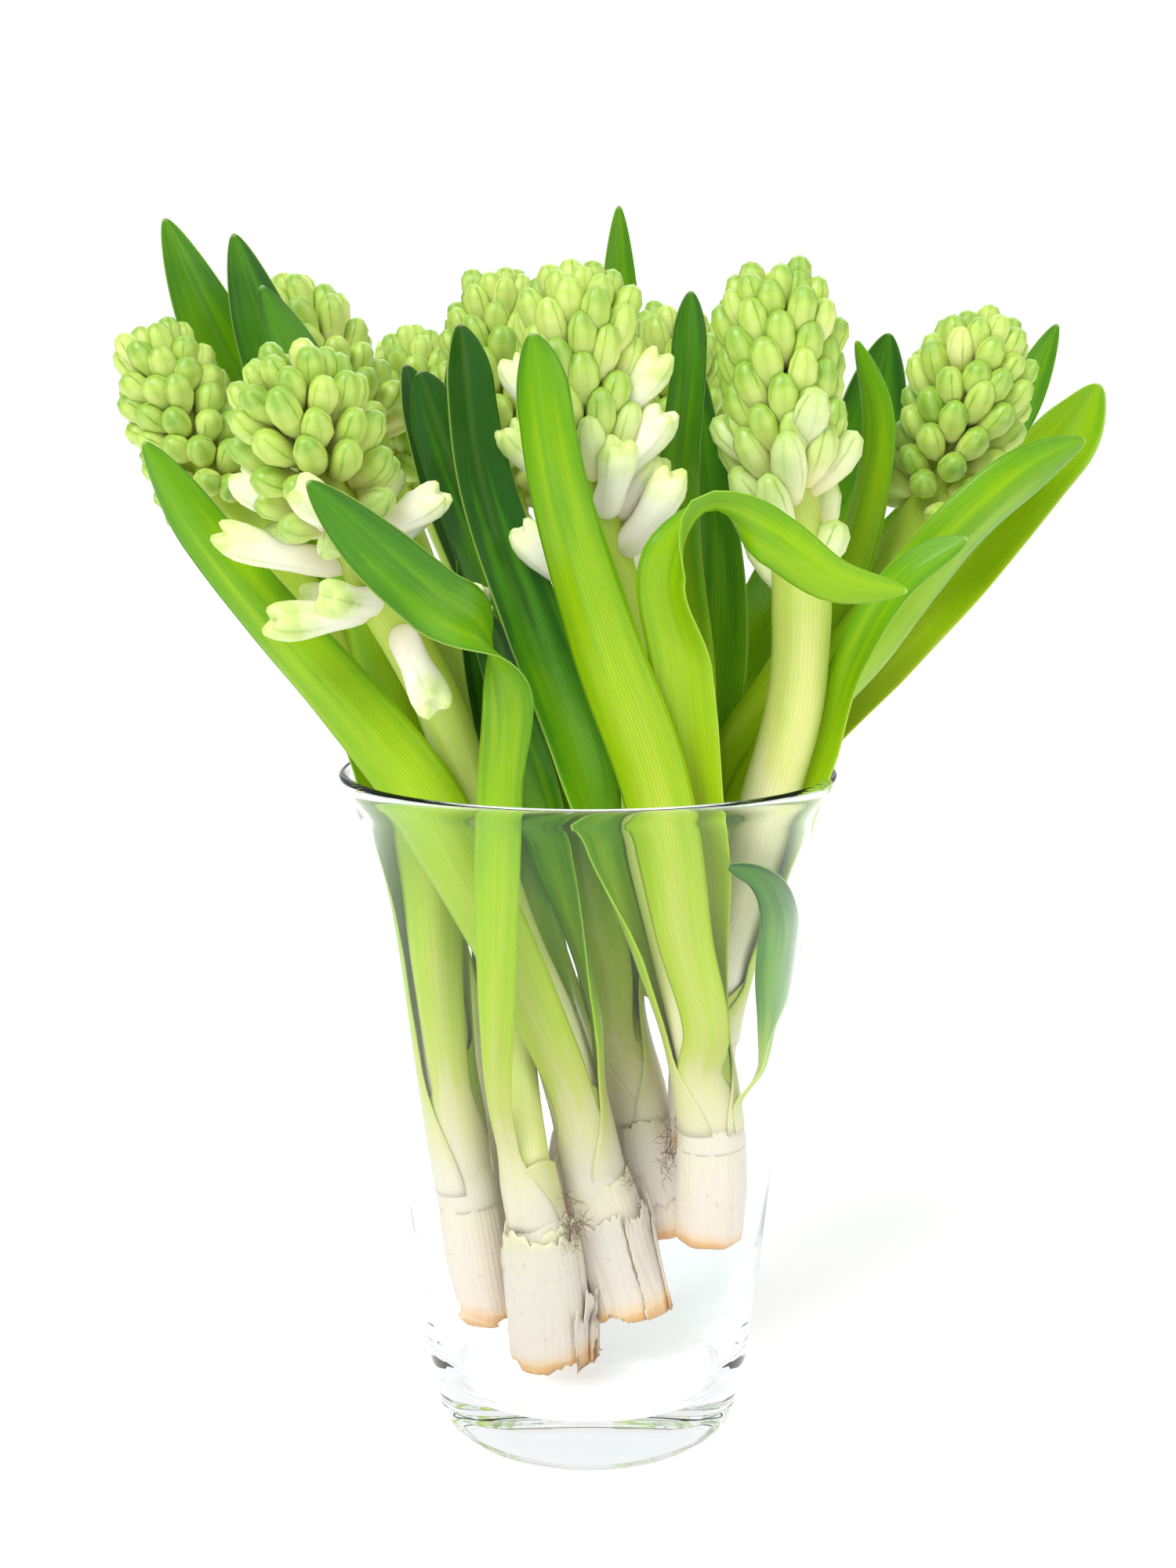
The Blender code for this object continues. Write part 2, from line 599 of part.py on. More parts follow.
def make_leaf(name, plant, stalk, leaf):
    """One blade of even thickness, split alike on both faces."""
    shares = np.linspace(0.0, 1.0, leaf.rows)
    shares = shares + 0.06 * np.sin(math.pi * shares)
    shares[-1] = 1.0
    faces = leaf_sections(plant, stalk, leaf, shares, leaf.columns)
    bm = bmesh.new()
    inner = [[bm.verts.new(point) for point in row[0]] for row in faces]
    outer = [[bm.verts.new(point) for point in row[1]] for row in faces]
    last = leaf.columns
    for r in range(len(faces) - 1):
        for c in range(last):
            a, b, d, e = inner[r][c], inner[r][c + 1], inner[r + 1][c + 1], inner[r + 1][c]
            bm.faces.new((a, d, b))
            bm.faces.new((a, e, d))
            a, b, d, e = outer[r][c], outer[r][c + 1], outer[r + 1][c + 1], outer[r + 1][c]
            bm.faces.new((a, b, d))
            bm.faces.new((a, d, e))
        for c, flip in ((0, False), (last, True)):
            quad = (outer[r][c], outer[r + 1][c], inner[r + 1][c], inner[r][c])
            bm.faces.new(tuple(reversed(quad)) if flip else quad)
    for r, flip in ((0, False), (len(faces) - 1, True)):
        for c in range(last):
            quad = (outer[r][c], inner[r][c], inner[r][c + 1], outer[r][c + 1])
            bm.faces.new(tuple(reversed(quad)) if flip else quad)
    bmesh.ops.recalc_face_normals(bm, faces=bm.faces)
    blade = new_object(name, bm)
    finish(blade, LEAF_GREEN)


def main():
    """Clears the scene and builds the vase and its nine hyacinths."""
    for obj in list(bpy.data.objects):
        bpy.data.objects.remove(obj)
    make_vase()
    for number, plant in enumerate(HYACINTHS, start=1):
        stalk = Path(plant.route)
        make_bulb(f"bulb_{number}", plant, stalk)
        make_flower(f"flower_{number}", plant, stalk)
        for order, leaf in enumerate(plant.leaves, start=1):
            make_leaf(f"leaf_{number}_{order}", plant, stalk, leaf)


main()
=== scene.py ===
"""Nine cut hyacinths standing in a clear glass vase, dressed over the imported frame.

Every piece stands for one node of the frame, or for a detail that rides with it. Lengths in
the design tables are millimetres; meshes are in metres. +Z is up and -Y is the front.
"""

from __future__ import annotations

import logging
import math
from dataclasses import dataclass, field
from enum import Enum

import bmesh
import bpy
import numpy as np
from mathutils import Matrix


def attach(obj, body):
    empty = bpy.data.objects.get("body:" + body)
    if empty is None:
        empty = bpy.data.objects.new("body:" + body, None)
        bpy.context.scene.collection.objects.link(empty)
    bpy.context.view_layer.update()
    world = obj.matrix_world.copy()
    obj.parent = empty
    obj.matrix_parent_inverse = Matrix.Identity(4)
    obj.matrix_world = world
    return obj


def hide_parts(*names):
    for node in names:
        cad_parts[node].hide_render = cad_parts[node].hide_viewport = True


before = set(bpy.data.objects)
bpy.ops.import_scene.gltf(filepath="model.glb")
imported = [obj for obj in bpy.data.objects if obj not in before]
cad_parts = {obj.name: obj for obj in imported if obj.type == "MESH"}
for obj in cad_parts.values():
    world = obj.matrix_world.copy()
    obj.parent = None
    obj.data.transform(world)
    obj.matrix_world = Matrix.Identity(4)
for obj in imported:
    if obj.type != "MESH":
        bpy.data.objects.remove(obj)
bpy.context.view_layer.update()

LOG = logging.getLogger("hyacinth_vase")
MM = 0.001

# --- sizes shared with the solids, in millimetres ---
VASE_HEIGHT = 210.0
RIM_RADIUS = 75.0
NECK_SHEATH_RADIUS = 10.0
MEAN_SCAPE_RADIUS = 8.0
LEAF_GAP = 0.7
TOUCH_GAP = 0.3
SAMPLES_PER_SPAN = 24
GOLDEN_ANGLE = math.radians(137.508)
EAST = np.array([1.0, 0.0, 0.0])


class Habit(Enum):
    """How far a flower head has opened."""

    TIGHT = "all buds green and closed"
    OPENING = "long pale buds below, held up against the stalk"
    SPREADING = "white florets below, parted from the stalk"


class Slot(Enum):
    """The record's material slots."""

    GLASS = "vase_glass"
    BULB = "bulb_white"
    FLORET = "floret_green"
    LEAF = "leaf_green"


@dataclass
class Leaf:
    """One strap leaf: where it leaves its sheath, then the free points of its spine."""

    azimuth: float
    hug: float
    points: list
    half_width: float = 11.0
    twist: tuple = (0.0,)
    sheath_half_angle: float = 44.0
    fold: float = 12.0
    cup: float = 30.0


@dataclass
class Hyacinth:
    """One cut hyacinth: a route from the cut of its bulb to the tip of its flower."""

    route: list
    bulb_length: float
    bulb_radius: float
    head_length: float
    head_radius: float
    leaves: list
    scape_radius: float = 8.0
    turn: float = 0.0


# Points are millimetres from the middle of the vase's foot.
HYACINTHS = [
    Hyacinth(
        route=[(-32, 13.5, 29), (-34.7, 12.8, 45), (-38.5, 12, 74), (-43, 11, 104), (-47, 10, 140),
               (-51, 11, 190), (-56, 11, 210), (-68, 11, 232), (-91, 11, 266),
               (-113, 12, 296), (-133, 15, 344)],
        bulb_length=45, bulb_radius=10.8, head_length=62, head_radius=22,
        turn=0.4, scape_radius=7.6,
        leaves=[
            Leaf(278, 34, [(-46, -2, 150), (-47, -2, 178), (-50, -4, 207), (-57, -2, 240),
                           (-68, 5, 275), (-80, 9, 310), (-89, 9, 336), (-97, 10, 353)],
                 half_width=11, sheath_half_angle=38),
            Leaf(75, 34, [(-45, 22, 150), (-48, 24.5, 178), (-52, 27, 207), (-65, 30, 245),
                          (-80, 30, 285), (-90, 28, 318), (-100, 26, 345), (-107, 24, 369)],
                 half_width=11),
            Leaf(175, 40, [(-58.5, 9, 150), (-62.5, 3, 185), (-65, -5, 208), (-73, -12, 230),
                           (-88, -17, 256)],
                 half_width=7),
        ],
    ),
    Hyacinth(
        route=[(-11.5, 4, 19.6), (-13, 2, 45), (-16, 0, 68), (-20, -2, 90), (-23, 0, 112),
               (-25, 9, 140), (-26, 20, 190), (-26, 38, 260), (-27, 48, 310), (-29, 52, 362)],
        bulb_length=46, bulb_radius=12.4, head_length=78, head_radius=22,
        turn=1.3, scape_radius=7.6,
        leaves=[
            Leaf(242, 26, [(-27, -20, 110), (-27, -33, 139), (-26, -42, 176), (-25, -46, 212),
                           (-24, -52, 238), (-28, -62, 254), (-42, -74, 267), (-58, -84, 283),
                           (-74, -86, 300)],
                 half_width=12.5, twist=(0, 20, 30, 20, 0, 0, 0, 0, 0)),
        ],
    ),
    Hyacinth(
        route=[(13.5, 10, 31), (8, 12, 55), (1.5, 10, 80), (-4, 4, 106), (-11, -5, 132),
               (-22, -12, 160), (-34, -18, 200), (-43, -26, 232), (-57, -36, 262),
               (-73, -48, 298), (-84, -62, 336)],
        bulb_length=48, bulb_radius=12.0, head_length=84, head_radius=24,
        turn=2.2, scape_radius=7.6,
        leaves=[
            Leaf(268, 26, [(-18, -20, 143), (-36, -30, 182), (-50, -36, 209), (-70, -35, 234.5),
                           (-91, -32, 258), (-111, -28, 283), (-127, -25, 308)],
                 half_width=13.5),
            Leaf(5, 30, [(4, -1, 130), (-5, -9, 170), (-14, -16, 205), (-24, -23, 238),
                         (-30, -26, 260)], half_width=7, sheath_half_angle=36),
            Leaf(98, 18, [(-9, 7.6, 128), (-13.5, 2.2, 150), (-17, 0.8, 170), (-19, -1, 187),
                          (-25, -3.5, 210), (-31, -4, 240), (-34, -1, 272), (-37, 3, 300),
                          (-40, 8, 334)], half_width=6.5, sheath_half_angle=32),
        ],
    ),
    Hyacinth(
        route=[(23, 30, 52), (21, 30.5, 70), (17.5, 31, 90), (9, 32, 120), (-1, 34, 155),
               (-14, 42, 200), (-36, 70, 255), (-54, 96, 296), (-62, 106, 345)],
        bulb_length=38, bulb_radius=10.8, head_length=60, head_radius=19,
        turn=0.9, scape_radius=7.4,
        leaves=[
            Leaf(268, 28, [(7, 16, 140), (0, 4, 168), (-5, -6, 205), (-15, -14, 245),
                           (-27, -14, 270), (-38, -12, 297), (-49, -8, 328)],
                 half_width=11.5, sheath_half_angle=38),
            Leaf(182, 30, [(-12.5, 24.5, 160), (-14, 20, 178), (-15, 18, 205), (-28, 13, 245), (-44, 12, 290),
                           (-55, 15, 330)], half_width=10, sheath_half_angle=36,
                 twist=(0, 0, 0, -40, -60, -60)),
            Leaf(352, 24, [(17.5, 30, 130), (17.5, 30, 160), (21, 31, 188), (26, 32, 208),
                           (33, 31, 232), (36, 30, 258), (35, 29, 300), (29, 33, 338)],
                 half_width=7, sheath_half_angle=32),
        ],
    ),
    Hyacinth(
        route=[(38, -4, 62), (38, -5, 97), (34, -6, 122), (27, -8, 152), (18, -12, 190),
               (12, -20, 230), (8, -26, 262), (-1, -28, 309), (-3, -28, 361)],
        bulb_length=36, bulb_radius=10.8, head_length=106, head_radius=24,
        turn=0.0, scape_radius=7.6,
        leaves=[
            Leaf(262, 20, [(35, -20, 128), (28, -26, 161), (18, -36, 210), (3, -52, 254),
                           (-9, -62, 298), (-15, -60, 338)],
                 half_width=12.0, fold=18),
            Leaf(172, 26, [(14, -12, 155), (4, -20, 185), (-3, -28, 215), (-17, -36, 256),
                           (-31, -36, 300), (-36, -32, 341)],
                 half_width=9.5, sheath_half_angle=38),
            Leaf(25, 26, [(38, -4, 155), (36, -12, 180), (32, -24, 208), (27, -42, 248),
                          (23, -54, 276), (33, -59, 291), (50, -62, 283), (68, -61, 271),
                          (88, -56, 268)],
                 half_width=9.5, sheath_half_angle=36),
            Leaf(325, 6, [(53, -13, 120), (56, -12, 142), (57.4, -12.7, 168), (50, -20, 181),
                          (41, -22, 184)], half_width=7.5, sheath_half_angle=11),
        ],
    ),
    Hyacinth(
        route=[(-1, 37.5, 44), (-2, 42, 84), (4, 48, 120), (12, 50, 155), (18, 54, 200),
               (24, 60, 260), (28, 65, 310), (28, 68, 352)],
        bulb_length=38, bulb_radius=10.8, head_length=62, head_radius=20,
        turn=2.9, scape_radius=7.4,
        leaves=[
            Leaf(150, 30, [(2, 54, 160), (5, 57, 200), (4, 72, 240), (6, 86, 290),
                           (9, 86, 340), (10, 80, 381)], half_width=10),
        ],
    ),
    Hyacinth(
        route=[(-22, 32, 55), (-27, 34, 90), (-30, 37, 130), (-34, 41, 190), (-42, 48, 225),
               (-52, 57, 255), (-74, 67, 308), (-106, 75, 358)],
        bulb_length=38, bulb_radius=10.8, head_length=66, head_radius=22,
        turn=1.8, scape_radius=7.4,
        leaves=[
            Leaf(195, 40, [(-45, 36, 155), (-50, 36.5, 205), (-66, 42, 245), (-90, 44, 290),
                           (-106, 41, 320), (-119, 37, 348), (-129, 32, 374)], half_width=12,
                 sheath_half_angle=36),
            Leaf(100, 40, [(-33, 50, 165), (-36, 52, 203), (-56, 66, 245), (-98, 66, 290),
                           (-118, 54, 325), (-128, 48, 353)], half_width=9,
                 sheath_half_angle=36),
        ],
    ),
    Hyacinth(
        route=[(37, 22, 84), (37, 21, 120), (42, 13, 148), (48, 4, 172), (54.5, -8, 202),
               (61, -16, 232), (62, -20, 262), (57, -21, 305), (52, -22, 361)],
        bulb_length=36, bulb_radius=10.4, head_length=104, head_radius=24,
        turn=0.6, scape_radius=9.0,
        leaves=[
            Leaf(210, 24, [(30, 8, 165), (32, 1, 205), (31, 3, 232), (27, 2, 276),
                           (27, -4, 304), (29, -6, 326), (30, -4, 351)], half_width=6,
                 sheath_half_angle=30),
            Leaf(350, 24, [(53, 9, 150), (59.5, 0, 174), (66, -11, 203), (70, -14, 218),
                           (79, -22, 248), (91, -29, 269), (108, -32, 281)], half_width=6.5,
                 sheath_half_angle=30),
        ],
    ),
    Hyacinth(
        route=[(27, 40, 128), (31, 38, 158), (39.5, 31, 182), (47.5, 25.5, 203), (64.5, 22, 232),
               (87, 21, 262), (105, 20, 290), (120, 10, 348)],
        bulb_length=30, bulb_radius=10.2, head_length=66, head_radius=22,
        turn=2.4, scape_radius=7.4,
        leaves=[
            Leaf(12, 14, [(60, 25, 200), (69, 24, 213.5), (89, 30, 238), (115, 40, 265),
                          (139, 46, 293), (154, 48, 312), (162, 46, 327)],
                 half_width=15.5, fold=26, sheath_half_angle=30),
            Leaf(285, 14, [(50, 13, 198), (60, 3, 216), (80, -7, 242), (96, -11, 265),
                           (114, -14, 286), (133, -10, 301), (146, -5, 308)],
                 half_width=11, sheath_half_angle=26),
            Leaf(215, 14, [(35, 24, 190), (41, 14, 212), (56, 5, 236), (71, 4, 258),
                           (83, 6, 290), (86, 8, 313), (80, 9, 337)], half_width=8.5,
                 sheath_half_angle=30),
            Leaf(147, 20, [(38, 43, 205), (50, 52, 235), (68, 55, 265), (84, 55, 295),
                           (95, 53, 340)], half_width=9.5, sheath_half_angle=27),
            Leaf(87, 20, [(48.5, 35.5, 200), (58, 42, 221), (84, 56, 255), (110, 64, 283),
                          (136, 66, 313), (150, 64, 343)], half_width=9,
                 sheath_half_angle=27),
        ],
    ),
]


@dataclass(frozen=True)
class Look:
    """What the eye adds to one leaf: its tone, its breadth and how its blade turns."""

    # tone: above 0 deeper green, below 0 paler; partly the leaf's own green, partly painted light that makes
    # paler the leaves the lamps leave in shade
    tone: float
    breadth: float = 1.0
    turn: tuple = ()
    wrap: float = 96.0
    waist: float = 1.0
    cap: float = 0.065
    taper: float = 0.34
    trim: float = 1.0


@dataclass(frozen=True)
class Flap:
    """A torn patch of outer skin on a bulb, in degrees round it and shares of its length."""

    azimuth: float
    half_angle: float
    low: float
    high: float
    lift: float = 0.5
    ragged: float = 0.05
    flare: float = 0.6


@dataclass(frozen=True)
class Dress:
    """What the eye adds to one hyacinth: how it has opened and how its parts are toned."""

    habit: Habit
    florets: int
    neck_rise: float
    looks: tuple
    ripest: float = 1.0
    splay: float = 1.0
    bare: float = 0.0
    spurs: tuple = ()
    behind: int = 0
    scape_tone: float = 0.0
    neck_tone: float = 0.0
    flaps: tuple = ()
    cut_slope: tuple = (0.0, 0.0)
    slim: float = 0.0
    collar: float = 0.84


# One entry for each hyacinth, in the order of HYACINTHS. A spur is a long floret: the share
# of the head at its foot, and its tip in millimetres.
DRESSES = [
    Dress(Habit.TIGHT, 62, 44,
          (Look(-0.06, 1.15, cap=0.18, taper=0.10),
           Look(-0.06, 1.2, (0, 0, 10, 20), cap=0.18, taper=0.10),
           Look(0.05, 1.0, (0, -25, -50))),
          neck_tone=0.12, slim=3.2, collar=0.92),
    Dress(Habit.TIGHT, 76, 22,
          (Look(0.07, 1.04, (0, 10, 28, 25, -8, -52, -116, -124, -126), 160.0, 0.50, 0.12,
                trim=0.997),),
          flaps=(Flap(262, 74, 0.02, 0.93, 0.9, 0.06, 0.4),
                 Flap(330, 26, -0.05, 0.50, 1.2, 0.12, 2.6),
                 Flap(352, 16, -0.08, 0.30, 1.6, 0.16, 3.2)),
          cut_slope=(0.02, 0.0), scape_tone=0.34),
    Dress(Habit.SPREADING, 50, 42,
          (Look(-0.03, 0.84, cap=0.11), Look(0.26, 1.15, (0, 30, 70, 85)), Look(0.34)),
          bare=0.38, behind=3,
          spurs=((0.20, (-103.0, -50.0, 284.0)), (0.05, (-88.0, -58.0, 260.0)),
                 (-0.05, (-42.5, -62.0, 237.0)), (-0.02, (-28.0, -44.0, 266.0)),
                 (0.28, (-40.2, -48.0, 295.0)),                  (0.36, (-97.0, -52.0, 300.0)), (0.16, (-62.0, -70.0, 290.0)),
                 (0.34, (-76.0, -76.0, 298.0)), (0.06, (-71.6, -66.0, 268.0))),
          flaps=(Flap(255, 40, 0.0, 0.80, 0.6, 0.04, 0.3),
                 Flap(318, 24, -0.02, 0.74, 1.1, 0.05, 1.6),
                 Flap(358, 22, 0.0, 0.70, 1.7, 0.10, 2.2)),
          cut_slope=(0.28, 0.0)),
    Dress(Habit.TIGHT, 56, 40, (Look(0.18, 1.15), Look(0.28), 
           Look(0.10, 2.75, (20, 50, 85, 95, 95, 95, 92, 90), taper=0.72)),
          flaps=(Flap(300, 70, 0.3, 1.04, 0.7, 0.05, 0.5),), slim=2.9, collar=0.90),
    Dress(Habit.OPENING, 62, 34,
          (Look(-0.12), Look(0.24, 1.25, (0, -20, -40, -48)),
           Look(-0.12, 1.10, (30, 48, 46, 46, 20, -60, -150, -154, -158), waist=0.9,
                cap=0.13),
           Look(0.46, 0.90, (30, 70, 105, 125, 150), 11.0, cap=0.16)),
          bare=0.42, behind=5,
          spurs=((0.53, (21.3, -36.0, 332.9)), (0.38, (21.9, -38.0, 317.1)),
                 (0.19, (24.6, -40.0, 300.5)), (0.29, (19.4, -30.0, 304.5)),
                 (0.53, (-22.6, -34.0, 331.4)),
                 (0.37, (-23.0, -36.0, 312.8)), (0.08, (-20.0, -38.0, 285.0)),
                 (0.30, (8.0, -46.0, 309.0))),
          collar=0.93),
    # Painted light: this leaf's tone is paler to stand for light shining through a leaf that the lamps leave
    # in shade.
    Dress(Habit.TIGHT, 56, 40, (Look(-0.20, 1.6, (0, -20, -40), 150.0, cap=0.12, taper=0.62),)),
    Dress(Habit.TIGHT, 58, 40,
          (Look(-0.12, 1.1, (0, -30, -70, -95, -101), cap=0.20, taper=0.08),
           Look(-0.10, 1.3, cap=0.18, taper=0.10))),
    Dress(Habit.OPENING, 66, 30, 
          (Look(-0.04, 1.25, (-20, -60, -100, -118, -122)), Look(0.0, 1.2, (0, 20, 40, 50))),
          ripest=0.44, splay=0.7, bare=0.38, behind=4,
          spurs=((0.33, (76.0, -30.0, 311.5)), (0.12, (71.6, -26.0, 286.0)),
                 (0.31, (55.3, -42.0, 311.8)), (0.18, (50.3, -38.0, 300.0)),
                 (0.26, (42.0, -26.0, 301.4)), (0.44, (63.6, -42.0, 323.4)),
                 (0.42, (36.0, -24.0, 315.2))),
          scape_tone=-0.30),
    # Painted light: the first leaf's tone is paler to stand for light shining through its shaded lower half.
    Dress(Habit.TIGHT, 66, 22,
          (Look(-0.27, 0.96, (20, 45, 58, 61), cap=0.12, taper=0.12, trim=0.985),
           Look(-0.10, cap=0.14, taper=0.2), Look(-0.16, cap=0.14),
           Look(0.02, 1.7, (0, -40, -57, -57), cap=0.14), Look(-0.06, 1.1, cap=0.14))),
]


# Root fibres: centre and spread in millimetres, and how many strands.
TUFTS = [
    ((-5.0, -6.0, 66.0), (1.6, 1.6, 4.5), 90),
    ((12.0, 8.0, 74.0), (1.8, 1.6, 3.5), 60),
    ((26.0, 8.0, 88.0), (1.6, 1.8, 5.0), 60),
]


# --- curves ---
def unit(vectors: np.ndarray) -> np.ndarray:
    """Unit vectors along the last axis."""
    vectors = np.asarray(vectors, float)
    return vectors / np.linalg.norm(vectors, axis=-1, keepdims=True)


class Path:
    """A smooth curve through design points, read by the length along it."""

    def __init__(self, points: list) -> None:
        """Fits the curve.

        Args:
            points: the points that the curve runs through, in order.
        """
        points = np.asarray(points, float)
        spans = np.linalg.norm(np.diff(points, axis=0), axis=1)
        slopes = np.diff(points, axis=0) / spans[:, None]
        tangents = np.empty_like(points)
        tangents[0] = slopes[0]
        tangents[-1] = slopes[-1]
        before = spans[:-1, None]
        after = spans[1:, None]
        tangents[1:-1] = (slopes[:-1] * after + slopes[1:] * before) / (before + after)
        places = [points[:1]]
        for i, span in enumerate(spans):
            t = np.linspace(0.0, 1.0, SAMPLES_PER_SPAN + 1)[1:, None]
            places.append(
                (2 * t**3 - 3 * t**2 + 1) * points[i]
                + (t**3 - 2 * t**2 + t) * span * tangents[i]
                + (3 * t**2 - 2 * t**3) * points[i + 1]
                + (t**3 - t**2) * span * tangents[i + 1]
            )
        self.places = np.concatenate(places)
        steps = np.linalg.norm(np.diff(self.places, axis=0), axis=1)
        self.lengths = np.concatenate([[0.0], np.cumsum(steps)])
        self.total = float(self.lengths[-1])
        self.knot_lengths = np.interp(
            np.arange(len(points)) * SAMPLES_PER_SPAN, np.arange(len(self.lengths)), self.lengths
        )

    def at(self, length: float | np.ndarray) -> np.ndarray:
        """The point at a length along the curve."""
        return np.stack(
            [np.interp(length, self.lengths, self.places[:, k]) for k in range(3)], axis=-1
        )

    def along(self, length: float | np.ndarray) -> np.ndarray:
        """The unit tangent at a length along the curve."""
        step = self.total / 400
        low = np.clip(np.asarray(length) - step, 0.0, self.total - 2 * step)
        return unit(self.at(low + 2 * step) - self.at(low))

    def frames(self, lengths: np.ndarray, first: np.ndarray) -> tuple[np.ndarray, np.ndarray]:
        """Tangents and normals that turn as little as they can along the curve.

        Args:
            lengths: where along the curve the frames are wanted.
            first: the direction that the first normal keeps to.

        Returns:
            The tangents and the normals, one row for each length.
        """
        fine = np.linspace(0.0, self.total, 241)
        tangents = self.along(fine)
        normals = np.empty_like(tangents)
        normals[0] = unit(first - np.dot(first, tangents[0]) * tangents[0])
        for i in range(1, len(fine)):
            turned = normals[i - 1] - np.dot(normals[i - 1], tangents[i]) * tangents[i]
            normals[i] = unit(turned)
        picked = np.stack([np.interp(lengths, fine, normals[:, k]) for k in range(3)], axis=-1)
        along = self.along(lengths)
        picked -= (picked * along).sum(axis=-1, keepdims=True) * along
        return along, unit(picked)


def across(azimuth_degrees: float, tangent: np.ndarray) -> np.ndarray:
    """The direction of a compass azimuth, squared to a stalk's tangent."""
    angle = math.radians(azimuth_degrees)
    flat = np.array([math.cos(angle), math.sin(angle), 0.0])
    return unit(flat - np.dot(flat, tangent) * tangent)


def ease(low: float, high: float, value: float | np.ndarray) -> np.ndarray:
    """A smooth step from 0 at low to 1 at high."""
    t = np.clip((np.asarray(value, float) - low) / (high - low), 0.0, 1.0)
    return t * t * (3 - 2 * t)


# --- colours and nodes ---
def shade(red: float, green: float, blue: float) -> tuple[float, float, float, float]:
    """A colour given as 0 to 255 on a screen, as the linear values that a shader takes."""
    out = []
    for value in (red, green, blue):
        part = value / 255.0
        out.append(part / 12.92 if part <= 0.04045 else ((part + 0.055) / 1.055) ** 2.4)
    return (out[0], out[1], out[2], 1.0)


class Wiring:
    """Adds nodes to a tree and joins them."""

    def __init__(self, tree: bpy.types.NodeTree) -> None:
        """Keeps the tree that it works on."""
        self.tree = tree

    def add(self, kind: str, inputs: dict | None = None, **settings: object) -> bpy.types.Node:
        """Adds one node.

        Args:
            kind: the node's type, without the ShaderNode prefix.
            inputs: values or output sockets for its inputs, by name or number.
            settings: the node's own properties.

        Returns:
            The new node.
        """
        node = self.tree.nodes.new("ShaderNode" + kind)
        for key, value in settings.items():
            setattr(node, key, value)
        for key, value in (inputs or {}).items():
            if isinstance(value, bpy.types.NodeSocket):
                self.tree.links.new(value, node.inputs[key])
            else:
                node.inputs[key].default_value = value
        return node

    def maths(self, operation: str, first: object, second: object = 0.0) -> bpy.types.NodeSocket:
        """The output of a Math node."""
        node = self.add("Math", {0: first, 1: second}, operation=operation)
        return node.outputs[0]

    def ramp(self, factor: object, stops: tuple) -> bpy.types.NodeSocket:
        """The colour of a Color Ramp.

        Args:
            factor: the socket that drives it.
            stops: pairs of a place from 0 to 1 and a colour.

        Returns:
            The ramp's colour output.
        """
        node = self.add("ValToRGB", {0: factor})
        bar = node.color_ramp
        bar.interpolation = "EASE"
        while len(bar.elements) < len(stops):
            bar.elements.new(0.5)
        for element, (place, colour) in zip(bar.elements, stops):
            element.position = place
            element.color = colour
        return node.outputs["Color"]

    def mix(self, factor: object, first: object, second: object,
            blend: str = "MIX") -> bpy.types.NodeSocket:
        """The colour of a Mix node between two colours."""
        node = self.add("Mix", {0: factor, 6: first, 7: second}, data_type="RGBA",
                        blend_type=blend)
        return node.outputs[2]

    def group(self, tree: bpy.types.NodeTree, inputs: dict) -> bpy.types.Node:
        """Places a node group and sets its inputs."""
        node = self.tree.nodes.new("ShaderNodeGroup")
        node.node_tree = tree
        for key, value in inputs.items():
            if isinstance(value, bpy.types.NodeSocket):
                self.tree.links.new(value, node.inputs[key])
            else:
                node.inputs[key].default_value = value
        return node


